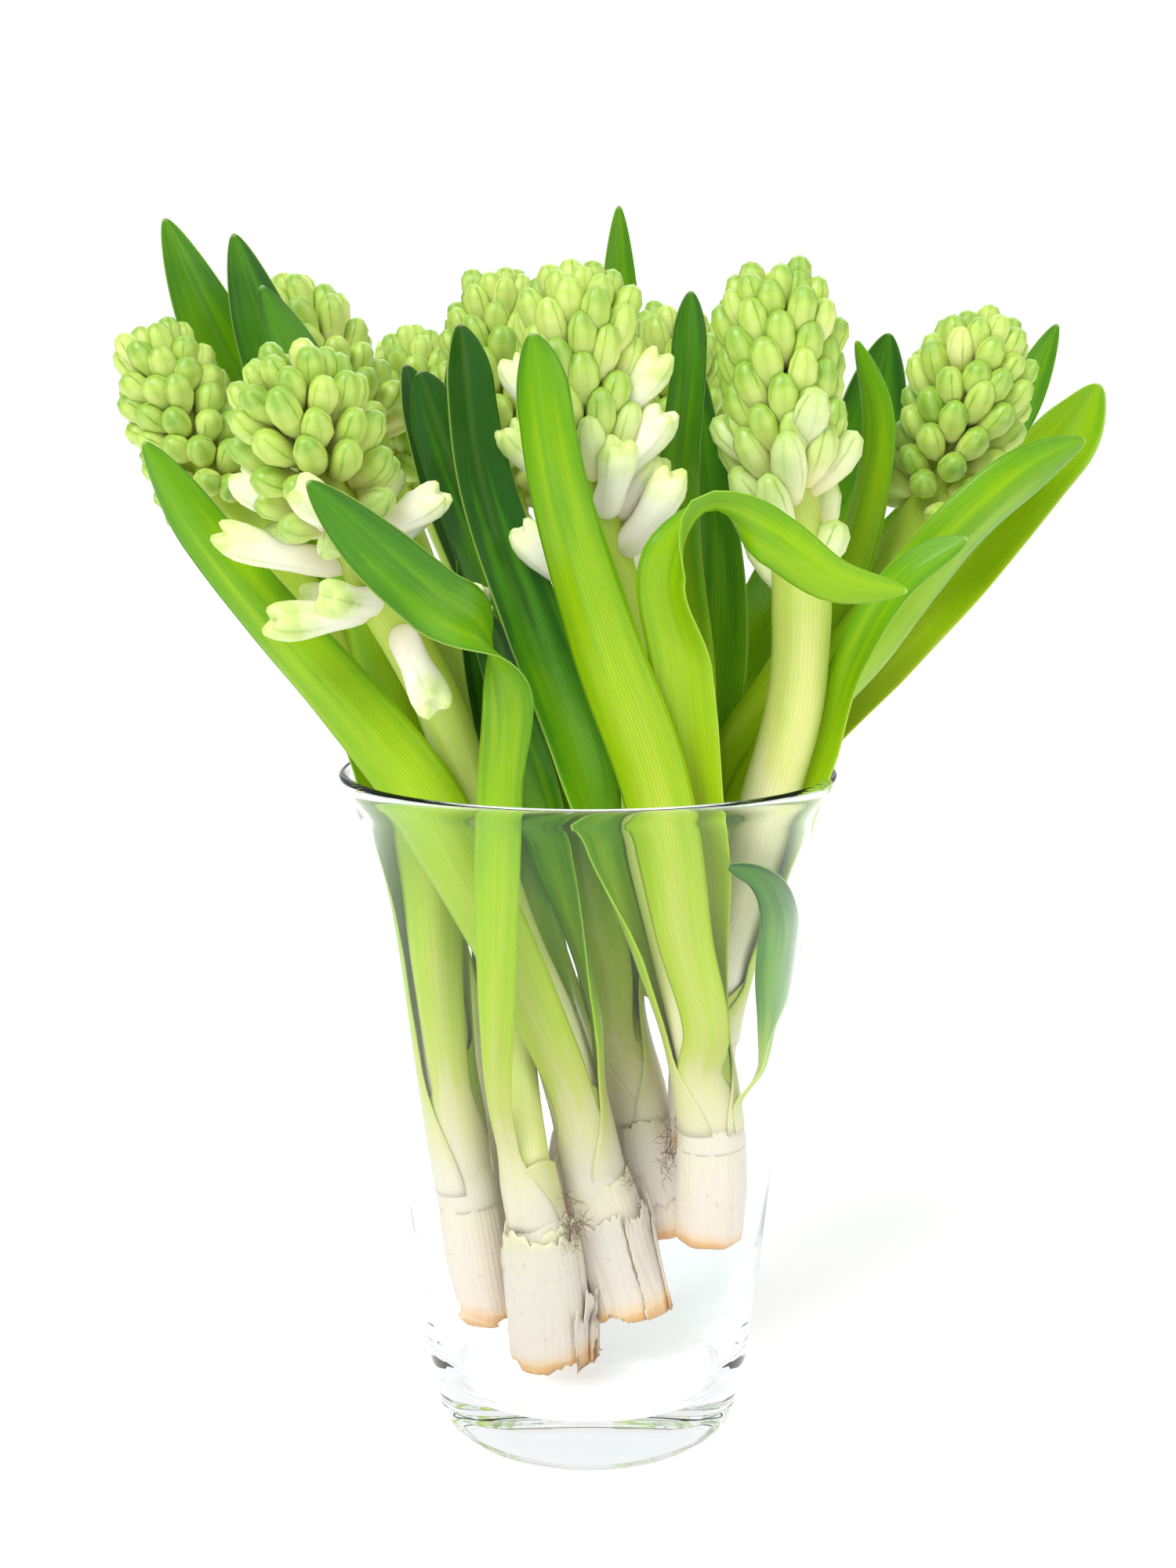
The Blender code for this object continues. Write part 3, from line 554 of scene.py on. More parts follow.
class TissueEffects:
    """The effects that more than one plant finish uses, each built once as a node group."""

    def __init__(self) -> None:
        """Builds the groups."""
        self.veins = self._veins()
        self.mottle = self._mottle()

    @staticmethod
    def _start(name: str, inputs: tuple, outputs: tuple) -> tuple:
        """An empty group with named float sockets, its input node and its output node."""
        tree = bpy.data.node_groups.new(name, "ShaderNodeTree")
        for label, kind in inputs:
            tree.interface.new_socket(label, in_out="INPUT", socket_type=kind)
        for label in outputs:
            tree.interface.new_socket(label, in_out="OUTPUT", socket_type="NodeSocketFloat")
        return tree, tree.nodes.new("NodeGroupInput"), tree.nodes.new("NodeGroupOutput")

    def _veins(self) -> bpy.types.NodeTree:
        """Parallel veins: uneven fine lines that run along the tissue."""
        number = "NodeSocketFloat"
        tree, source, sink = self._start(
            "parallel_veins",
            (("Across", number), ("Along", number), ("Count", number), ("Stretch", number)),
            ("Lines", "Streaks"),
        )
        wire = Wiring(tree)
        lines = wire.maths("MULTIPLY", source.outputs["Across"], source.outputs["Count"])
        along = wire.maths("MULTIPLY", source.outputs["Along"], source.outputs["Stretch"])
        place = wire.add("CombineXYZ", {0: lines, 1: along})
        noise = wire.add("TexNoise", {"Vector": place.outputs[0], "Scale": 1.1, "Detail": 2.0})
        wave = wire.maths("SINE", wire.maths("MULTIPLY", lines, 2 * math.pi))
        wave = wire.maths("MULTIPLY_ADD", wave, 0.5)
        wave.node.inputs[2].default_value = 0.5
        both = wire.maths("MULTIPLY", wave, 0.45)
        both = wire.maths("ADD", both, wire.maths("MULTIPLY", noise.outputs[0], 0.55))
        wide = wire.add("CombineXYZ", {0: wire.maths("MULTIPLY", lines, 0.16),
                                       1: wire.maths("MULTIPLY", along, 0.4)})
        streaks = wire.add("TexNoise", {"Vector": wide.outputs[0], "Scale": 1.0, "Detail": 3.0})
        tree.links.new(both, sink.inputs["Lines"])
        tree.links.new(streaks.outputs[0], sink.inputs["Streaks"])
        return tree

    def _mottle(self) -> bpy.types.NodeTree:
        """Soft uneven patches in space."""
        tree, source, sink = self._start(
            "soft_mottle",
            (("Vector", "NodeSocketVector"), ("Scale", "NodeSocketFloat")),
            ("Patches", "Specks"),
        )
        wire = Wiring(tree)
        scale = source.outputs["Scale"]
        noise = wire.add("TexNoise", {"Vector": source.outputs["Vector"], "Scale": scale,
                                      "Detail": 4.0, "Roughness": 0.55})
        tight = wire.add("MapRange", {0: noise.outputs[0], 1: 0.3, 2: 0.7, 3: 0.0, 4: 1.0})
        fine = wire.add("TexNoise", {"Vector": source.outputs["Vector"],
                                     "Scale": wire.maths("MULTIPLY", scale, 9.0),
                                     "Detail": 2.0})
        specks = wire.add("MapRange", {0: fine.outputs[0], 1: 0.62, 2: 0.74, 3: 0.0, 4: 1.0})
        tree.links.new(tight.outputs[0], sink.inputs["Patches"])
        tree.links.new(specks.outputs[0], sink.inputs["Specks"])
        return tree


@dataclass(frozen=True)
class Finish:
    """What all finishes hold: the plain values of the Principled shader."""

    name: str
    roughness: float = 0.4
    specular: float = 0.5
    subsurface: float = 0.0
    subsurface_scale: float = 0.003
    coat: float = 0.0

    def _open(self) -> tuple[bpy.types.Material, Wiring, bpy.types.Node]:
        """A new material, its wiring and its Principled shader with the plain values set."""
        material = bpy.data.materials.new(self.name)
        material.use_nodes = True
        shader = material.node_tree.nodes["Principled BSDF"]
        shader.inputs["Roughness"].default_value = self.roughness
        shader.inputs["Specular IOR Level"].default_value = self.specular
        shader.inputs["Subsurface Weight"].default_value = self.subsurface
        shader.inputs["Subsurface Scale"].default_value = self.subsurface_scale
        shader.inputs["Subsurface Radius"].default_value = (1.0, 0.9, 0.35)
        shader.inputs["Coat Weight"].default_value = self.coat
        shader.inputs["Coat Roughness"].default_value = 0.18
        return material, Wiring(material.node_tree), shader

    @staticmethod
    def _bump(wire: Wiring, shader: bpy.types.Node, height: object, strength: float,
              distance: float) -> None:
        """Feeds a height into the shader's normal through a Bump node."""
        bump = wire.add("Bump", {"Height": height, "Strength": strength, "Distance": distance})
        wire.tree.links.new(bump.outputs["Normal"], shader.inputs["Normal"])


@dataclass(frozen=True)
class LeafFinish(Finish):
    """A waxy blade: cream at its sheath, lime above it and deep green at its tip."""

    stops: tuple = (
        (0.00, shade(217, 208, 190)),
        (0.09, shade(211, 207, 150)),
        (0.17, shade(196, 204, 98)),
        (0.28, shade(184, 205, 56)),
        (0.42, shade(166, 201, 14)),
        (0.56, shade(146, 189, 2)),
        (0.72, shade(108, 166, 4)),
        (0.86, shade(72, 136, 12)),
        (1.00, shade(36, 92, 16)),
    )
    margin: tuple = shade(186, 212, 92)
    vein_count: float = 26.0
    edge_light: float = 0.35

    def material(self, effects: TissueEffects) -> bpy.types.Material:
        """Builds the material.

        Args:
            effects: the shared node groups.

        Returns:
            The finished material.
        """
        material, wire, shader = self._open()
        links = wire.tree.links
        uv = wire.add("UVMap", uv_map="blade")
        split = wire.add("SeparateXYZ", {0: uv.outputs[0]})
        u, v = split.outputs[0], split.outputs[1]
        growth = wire.add("Attribute", attribute_name="growth").outputs["Fac"]
        place = wire.add("TexCoord").outputs["Object"]
        veins = wire.group(effects.veins, {"Across": u, "Along": v, "Count": self.vein_count,
                                           "Stretch": 5.0})
        mottle = wire.group(effects.mottle, {"Vector": place, "Scale": 26.0})
        patches = mottle.outputs["Patches"]
        shift = wire.maths("MULTIPLY", wire.maths("SUBTRACT", patches, 0.5), 0.10)
        streaks = wire.maths("SUBTRACT", veins.outputs["Streaks"], 0.5)
        shift = wire.maths("ADD", shift, wire.maths("MULTIPLY", streaks, 0.42))
        outer = wire.maths("ABSOLUTE", wire.maths("SUBTRACT", u, 0.5))
        outer = wire.add("MapRange", {0: outer, 1: 0.1, 2: 0.5, 3: -0.03, 4: 0.06})
        aged = wire.add("MapRange", {0: growth, 1: 0.02, 2: 0.24, 3: 0.12, 4: 1.0})
        shift = wire.maths("ADD", shift, outer.outputs[0])
        tone = wire.maths("ADD", growth, wire.maths("MULTIPLY", shift, aged.outputs[0]))
        colour = wire.ramp(tone, self.stops)
        lines = wire.add("MapRange", {0: veins.outputs["Lines"], 1: 0.2, 2: 0.8, 3: 0.0, 4: 0.58})
        marked = wire.maths("MULTIPLY", lines.outputs[0], aged.outputs[0])
        colour = wire.mix(marked, colour, shade(186, 206, 140), "MULTIPLY")
        off = wire.maths("ABSOLUTE", wire.maths("SUBTRACT", u, 0.5))
        rim = wire.add("MapRange", {0: off, 1: 0.487, 2: 0.5, 3: 0.0, 4: self.edge_light})
        colour = wire.mix(rim.outputs[0], colour, self.margin)
        keel = wire.add("MapRange", {0: off, 1: 0.0, 2: 0.12, 3: 0.06, 4: 0.0})
        colour = wire.mix(keel.outputs[0], colour, shade(170, 204, 70))
        end = wire.add("MapRange", {0: v, 1: 0.996, 2: 1.0, 3: 0.0, 4: 0.5})
        colour = wire.mix(end.outputs[0], colour, shade(206, 214, 176))
        links.new(colour, shader.inputs["Base Color"])
        sheen = wire.maths("ADD", wire.maths("MULTIPLY", patches, 0.5), veins.outputs["Streaks"])
        rough = wire.add("MapRange", {0: sheen, 1: 0.35, 2: 1.1, 3: self.roughness - 0.12,
                                      4: self.roughness + 0.14})
        links.new(rough.outputs[0], shader.inputs["Roughness"])
        ridges = wire.maths("ADD", veins.outputs["Lines"],
                            wire.maths("MULTIPLY", veins.outputs["Streaks"], 1.5))
        self._bump(wire, shader, ridges, 0.22, 0.0004)
        return material


@dataclass(frozen=True)
class FloretFinish(Finish):
    """A waxy bud: yellow-green and keeled while closed, white with a green tip when grown, with a painted
    highlight along the flanks of its tepals.
    """

    closed: tuple = (
        (0.00, shade(244, 236, 172)),
        (0.28, shade(238, 238, 170)),
        (0.52, shade(212, 226, 126)),
        (0.76, shade(184, 210, 90)),
        (1.00, shade(138, 180, 54)),
    )
    grown: tuple = (
        (0.00, shade(242, 232, 196)),
        (0.25, shade(249, 240, 226)),
        (0.62, shade(250, 247, 232)),
        (0.86, shade(232, 240, 190)),
        (1.00, shade(206, 224, 136)),
    )
    keel: tuple = shade(128, 170, 60)

    def material(self, effects: TissueEffects) -> bpy.types.Material:
        """Builds the material.

        Args:
            effects: the shared node groups.

        Returns:
            The finished material.
        """
        material, wire, shader = self._open()
        links = wire.tree.links
        uv = wire.add("UVMap", uv_map="floret")
        split = wire.add("SeparateXYZ", {0: uv.outputs[0]})
        u, v = split.outputs[0], split.outputs[1]
        ripeness = wire.add("Attribute", attribute_name="ripeness").outputs["Fac"]
        place = wire.add("TexCoord").outputs["Object"]
        mottle = wire.group(effects.mottle, {"Vector": place, "Scale": 90.0})
        veins = wire.group(effects.veins, {"Across": u, "Along": v, "Count": 30.0,
                                           "Stretch": 2.0})
        patches = wire.maths("SUBTRACT", mottle.outputs["Patches"], 0.5)
        shift = wire.add("Attribute", attribute_name="shift").outputs["Fac"]
        rise = wire.maths("ADD", v, wire.maths("MULTIPLY", patches, 0.22))
        rise = wire.maths("ADD", rise, shift)
        colour = wire.mix(ripeness, wire.ramp(rise, self.closed), wire.ramp(rise, self.grown))
        turn = wire.maths("COSINE", wire.maths("MULTIPLY", u, 6 * math.pi))
        # Painted highlight: a pale band on each tepal's flank, between keel and seam, drawn into the colour.
        flat = wire.add("MapRange", {0: wire.maths("ABSOLUTE", turn), 1: 0.0, 2: 0.9, 3: 0.14,
                                     4: 0.0})
        colour = wire.mix(flat.outputs[0], colour, shade(236, 244, 190))
        keel = wire.add("MapRange", {0: turn, 1: 0.90, 2: 1.0, 3: 0.0, 4: 0.22})
        fade = wire.add("MapRange", {0: v, 1: 0.25, 2: 0.8, 3: 0.0, 4: 1.0})
        green = wire.add("MapRange", {0: ripeness, 1: 0.0, 2: 1.0, 3: 1.0, 4: 0.35})
        lines = wire.maths("MULTIPLY", keel.outputs[0], fade.outputs[0])
        lines = wire.maths("MULTIPLY", lines, green.outputs[0])
        colour = wire.mix(lines, colour, self.keel)
        seam = wire.add("MapRange", {0: turn, 1: -1.0, 2: -0.94, 3: 0.9, 4: 0.0})
        broken = wire.add("MapRange", {0: mottle.outputs["Patches"], 1: 0.3, 2: 0.65, 3: 0.45,
                                       4: 1.0})
        seams = wire.maths("MULTIPLY", seam.outputs[0], fade.outputs[0])
        seams = wire.maths("MULTIPLY", seams, broken.outputs[0])
        seams = wire.maths("MULTIPLY", seams, green.outputs[0])
        colour = wire.mix(seams, colour, shade(116, 158, 52))
        links.new(colour, shader.inputs["Base Color"])
        self._bump(wire, shader, veins.outputs["Lines"], 0.10, 0.0003)
        return material


@dataclass(frozen=True)
class StalkFinish(Finish):
    """A fleshy stalk or neck: cream at its foot and yellow-green above, finely streaked."""

    stops: tuple = (
        (0.00, shade(236, 231, 214)),
        (0.30, shade(230, 226, 182)),
        (0.50, shade(216, 222, 132)),
        (0.72, shade(192, 212, 96)),
        (1.00, shade(178, 204, 66)),
    )

    def material(self, effects: TissueEffects) -> bpy.types.Material:
        """Builds the material.

        Args:
            effects: the shared node groups.

        Returns:
            The finished material.
        """
        material, wire, shader = self._open()
        uv = wire.add("UVMap", uv_map="stalk")
        split = wire.add("SeparateXYZ", {0: uv.outputs[0]})
        growth = wire.add("Attribute", attribute_name="growth").outputs["Fac"]
        place = wire.add("TexCoord").outputs["Object"]
        mottle = wire.group(effects.mottle, {"Vector": place, "Scale": 40.0})
        veins = wire.group(effects.veins, {"Across": split.outputs[0], "Along": split.outputs[1],
                                           "Count": 44.0, "Stretch": 6.0})
        patches = wire.maths("SUBTRACT", mottle.outputs["Patches"], 0.5)
        streaks = wire.maths("SUBTRACT", veins.outputs["Streaks"], 0.5)
        tone = wire.maths("ADD", growth, wire.maths("MULTIPLY", patches, 0.12))
        tone = wire.maths("ADD", tone, wire.maths("MULTIPLY", streaks, 0.35))
        colour = wire.ramp(tone, self.stops)
        lines = wire.add("MapRange", {0: veins.outputs["Lines"], 1: 0.25, 2: 0.8, 3: 0.0, 4: 0.3})
        colour = wire.mix(lines.outputs[0], colour, shade(222, 222, 186), "MULTIPLY")
        wire.tree.links.new(colour, shader.inputs["Base Color"])
        self._bump(wire, shader, veins.outputs["Lines"], 0.18, 0.0004)
        return material


@dataclass(frozen=True)
class BulbFinish(Finish):
    """Peeled white scales with fine creases, tanned where the base plate was cut."""

    stops: tuple = (
        (0.00, shade(196, 146, 96)),
        (0.05, shade(212, 164, 108)),
        (0.10, shade(220, 192, 158)),
        (0.18, shade(217, 203, 188)),
        (0.62, shade(216, 205, 190)),
        (0.88, shade(214, 206, 184)),
        (1.00, shade(210, 206, 170)),
    )

    def material(self, effects: TissueEffects) -> bpy.types.Material:
        """Builds the material.

        Args:
            effects: the shared node groups.

        Returns:
            The finished material.
        """
        material, wire, shader = self._open()
        uv = wire.add("UVMap", uv_map="bulb")
        split = wire.add("SeparateXYZ", {0: uv.outputs[0]})
        place = wire.add("TexCoord").outputs["Object"]
        mottle = wire.group(effects.mottle, {"Vector": place, "Scale": 55.0})
        veins = wire.group(effects.veins, {"Across": split.outputs[0], "Along": split.outputs[1],
                                           "Count": 40.0, "Stretch": 3.0})
        patches = wire.maths("SUBTRACT", mottle.outputs["Patches"], 0.5)
        rise = wire.maths("ADD", split.outputs[1], wire.maths("MULTIPLY", patches, 0.09))
        colour = wire.ramp(rise, self.stops)
        streak = wire.add("MapRange", {0: veins.outputs["Streaks"], 1: 0.52, 2: 0.8, 3: 0.0,
                                       4: 0.5})
        colour = wire.mix(streak.outputs[0], colour, shade(226, 212, 180))
        stain = wire.maths("MULTIPLY", mottle.outputs["Specks"], 0.30)
        colour = wire.mix(stain, colour, shade(176, 142, 104))
        wire.tree.links.new(colour, shader.inputs["Base Color"])
        height = wire.maths("ADD", veins.outputs["Lines"],
                            wire.maths("MULTIPLY", veins.outputs["Streaks"], 2.0))
        self._bump(wire, shader, height, 0.30, 0.0005)
        return material


@dataclass(frozen=True)
class FibreFinish(Finish):
    """Dry brown root fibres."""

    def material(self, effects: TissueEffects) -> bpy.types.Material:
        """Builds the material.

        Args:
            effects: the shared node groups.

        Returns:
            The finished material.
        """
        material, wire, shader = self._open()
        place = wire.add("TexCoord").outputs["Object"]
        mottle = wire.group(effects.mottle, {"Vector": place, "Scale": 160.0})
        colour = wire.ramp(mottle.outputs["Patches"],
                           ((0.0, shade(74, 48, 34)), (0.5, shade(118, 82, 58)),
                            (1.0, shade(176, 140, 104))))
        wire.tree.links.new(colour, shader.inputs["Base Color"])
        self._bump(wire, shader, mottle.outputs["Patches"], 0.4, 0.0003)
        return material


@dataclass(frozen=True)
class GlassFinish(Finish):
    """Clear pressed glass with the faintest waviness."""

    ior: float = 1.30
    shine: tuple = (0.90, 0.92, 0.93, 1.0)

    def material(self, effects: TissueEffects) -> bpy.types.Material:
        """Builds the material.

        Args:
            effects: the shared node groups.

        Returns:
            The finished material.
        """
        material, wire, shader = self._open()
        shader.inputs["Transmission Weight"].default_value = 1.0
        shader.inputs["Specular Tint"].default_value = self.shine
        shader.inputs["IOR"].default_value = self.ior
        place = wire.add("TexCoord").outputs["Object"]
        mottle = wire.group(effects.mottle, {"Vector": place, "Scale": 14.0})
        tint = wire.mix(mottle.outputs["Patches"], shade(250, 253, 253), shade(246, 251, 252))
        wire.tree.links.new(tint, shader.inputs["Base Color"])
        self._bump(wire, shader, mottle.outputs["Patches"], 0.03, 0.0004)
        return material


@dataclass(frozen=True)
class TableFinish(Finish):
    """A pale, matt table top."""

    def material(self, effects: TissueEffects) -> bpy.types.Material:
        """Builds the material.

        Args:
            effects: the shared node groups.

        Returns:
            The finished material.
        """
        material, wire, shader = self._open()
        place = wire.add("TexCoord").outputs["Object"]
        mottle = wire.group(effects.mottle, {"Vector": place, "Scale": 3.0})
        colour = wire.mix(mottle.outputs["Patches"], shade(249, 249, 250), shade(246, 247, 248))
        wire.tree.links.new(colour, shader.inputs["Base Color"])
        return material


# --- meshes ---
class Pieces:
    """Turns points in millimetres into finished pieces that ride with the frame."""

    def __init__(self) -> None:
        """Starts with no pieces made."""
        self.made: list[str] = []

    def finish(self, obj: bpy.types.Object, material: bpy.types.Material, slot: Slot,
               nodes: tuple[str, ...] = ()) -> bpy.types.Object:
        """Dresses a piece and puts it on the frame.

        Args:
            obj: the piece, at the origin with its place in its mesh.
            material: the finish that it wears.
            slot: not used.
            nodes: the frame's nodes that it stands for.

        Returns:
            The same piece.
        """
        obj.data.materials.clear()
        obj.data.materials.append(material)
        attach(obj, "root")
        if nodes:
            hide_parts(*nodes)
        self.made.append(obj.name)
        LOG.info("piece %s: %d faces", obj.name, len(obj.data.polygons))
        return obj

    @staticmethod
    def mesh(name: str, points: np.ndarray, faces: list, uv_name: str, uv: np.ndarray,
             values: dict[str, np.ndarray], poles: np.ndarray | None = None) -> bpy.types.Object:
        """Makes a smooth mesh with a UV map and point values.

        Args:
            name: the object's name.
            points: the vertices, in millimetres.
            faces: the vertex numbers of each face.
            uv_name: the UV map's name.
            uv: the UV place of each vertex; a face across the seam at 1 is mended.
            values: named values, one for each vertex.
            poles: marks the vertices that take their U from the rest of each face.

        Returns:
            The new object, at the origin.
        """
        mesh = bpy.data.meshes.new(name)
        mesh.from_pydata((np.asarray(points) * MM).tolist(), [], faces)
        work = bmesh.new()
        work.from_mesh(mesh)
        bmesh.ops.recalc_face_normals(work, faces=work.faces)
        work.to_mesh(mesh)
        work.free()
        layer = mesh.uv_layers.new(name=uv_name)
        corners = np.empty(len(mesh.loops), np.int32)
        mesh.loops.foreach_get("vertex_index", corners)
        starts = np.empty(len(mesh.polygons), np.int32)
        mesh.polygons.foreach_get("loop_start", starts)
        sizes = np.diff(np.append(starts, len(corners)))
        across_face = uv[corners, 0].copy()
        split = np.maximum.reduceat(across_face, starts) - np.minimum.reduceat(across_face, starts)
        across_face += np.repeat(split > 0.5, sizes) * (across_face < 0.5)
        if poles is not None:
            marked = poles[corners]
            rest = np.add.reduceat(across_face * ~marked, starts)
            rest = rest / np.add.reduceat((~marked).astype(float), starts)
            across_face = np.where(marked, np.repeat(rest, sizes), across_face)
        flat = np.stack([across_face, uv[corners, 1]], axis=-1)
        layer.data.foreach_set("uv", flat.astype(np.float32).ravel())
        for label, amounts in values.items():
            attribute = mesh.attributes.new(label, "FLOAT", "POINT")
            attribute.data.foreach_set("value", np.asarray(amounts, np.float32))
        mesh.shade_smooth()
        obj = bpy.data.objects.new(name, mesh)
        bpy.context.scene.collection.objects.link(obj)
        return obj

    @staticmethod
    def skin(rings: int, sides: int, start: int = 0) -> list:
        """The faces of a closed skin over rings of points, with a fan-free cap at each end."""
        faces = []
        for r in range(rings - 1):
            for c in range(sides):
                d = (c + 1) % sides
                low = start + r * sides
                faces.append((low + c, low + d, low + sides + d, low + sides + c))
        faces.append(tuple(range(start + sides - 1, start - 1, -1)))
        last = start + (rings - 1) * sides
        faces.append(tuple(range(last, last + sides)))
        return faces


@dataclass
class GlassVase:
    """The tapered glass, spun from its profile."""

    finish: GlassFinish
    sides: int = 128
    samples: int = 190
    ripple: float = 0.12
    ripple_pitch: float = 6.5

    def profile(self) -> np.ndarray:
        """Radius and height of the glass, from the middle of the foot to the inner floor."""
        outer = [(0.0, 0.0), (32.0, 0.0), (40.5, 1.8), (45.6, 7.0), (47.6, 15.0), (57.0, 85.0),
                 (65.0, 143.0), (68.0, 172.0), (69.8, 197.0)]
        lip = [(72.4, 203.5), (RIM_RADIUS, VASE_HEIGHT - 3.0), (RIM_RADIUS, VASE_HEIGHT - 0.8),
               (RIM_RADIUS - 1.4, VASE_HEIGHT), (RIM_RADIUS - 3.2, VASE_HEIGHT - 1.0),
               (69.9, 204.0)]
        inner = [(67.2, 197.0), (65.5, 172.0), (62.4, 143.0), (54.5, 85.0), (49.8, 50.0),
                 (45.2, 28.0), (42.0, 20.5), (36.0, 18.0), (0.0, 17.4)]
        curve = Path([(radius, 0.0, height) for radius, height in outer + lip + inner])
        lengths = np.linspace(0.0, curve.total, self.samples)
        places = curve.at(np.union1d(lengths, curve.knot_lengths))
        inside = np.arange(len(places)) > int(np.argmax(places[:, 2]))
        height = places[:, 2]
        swell = np.exp(-(((height - 42.0) / 14.0) ** 2)) * inside
        places[:, 0] += self.ripple * swell * np.sin(height * 2 * math.pi / self.ripple_pitch)
        places[:, 0] = np.clip(places[:, 0], 0.0, RIM_RADIUS)
        places[:, 2] = np.clip(places[:, 2], 0.0, VASE_HEIGHT)
        return places

    def build(self, pieces: Pieces, effects: TissueEffects) -> None:
        """Spins the profile, closes it and dresses it."""
        bpy.ops.object.select_all(action="DESELECT")
        places = self.profile() * MM
        mesh = bpy.data.meshes.new("glass_vase")
        mesh.from_pydata(places.tolist(), [(i, i + 1) for i in range(len(places) - 1)], [])
        vase = bpy.data.objects.new("glass_vase", mesh)
        bpy.context.scene.collection.objects.link(vase)
        bpy.context.view_layer.objects.active = vase
        vase.select_set(True)
        bpy.ops.object.mode_set(mode="EDIT")
        bpy.ops.mesh.select_all(action="SELECT")
        bpy.ops.mesh.spin(steps=self.sides, angle=2 * math.pi, center=(0.0, 0.0, 0.0),
                          axis=(0.0, 0.0, 1.0))
        bpy.ops.mesh.select_all(action="SELECT")
        bpy.ops.mesh.remove_doubles(threshold=0.00002)
        bpy.ops.mesh.normals_make_consistent(inside=False)
        bpy.ops.object.mode_set(mode="OBJECT")
        vase.data.shade_smooth()
        vase.visible_shadow = False
        vase.visible_diffuse = False
        vase.select_set(False)
        pieces.finish(vase, self.finish.material(effects), Slot.GLASS, ("vase",))


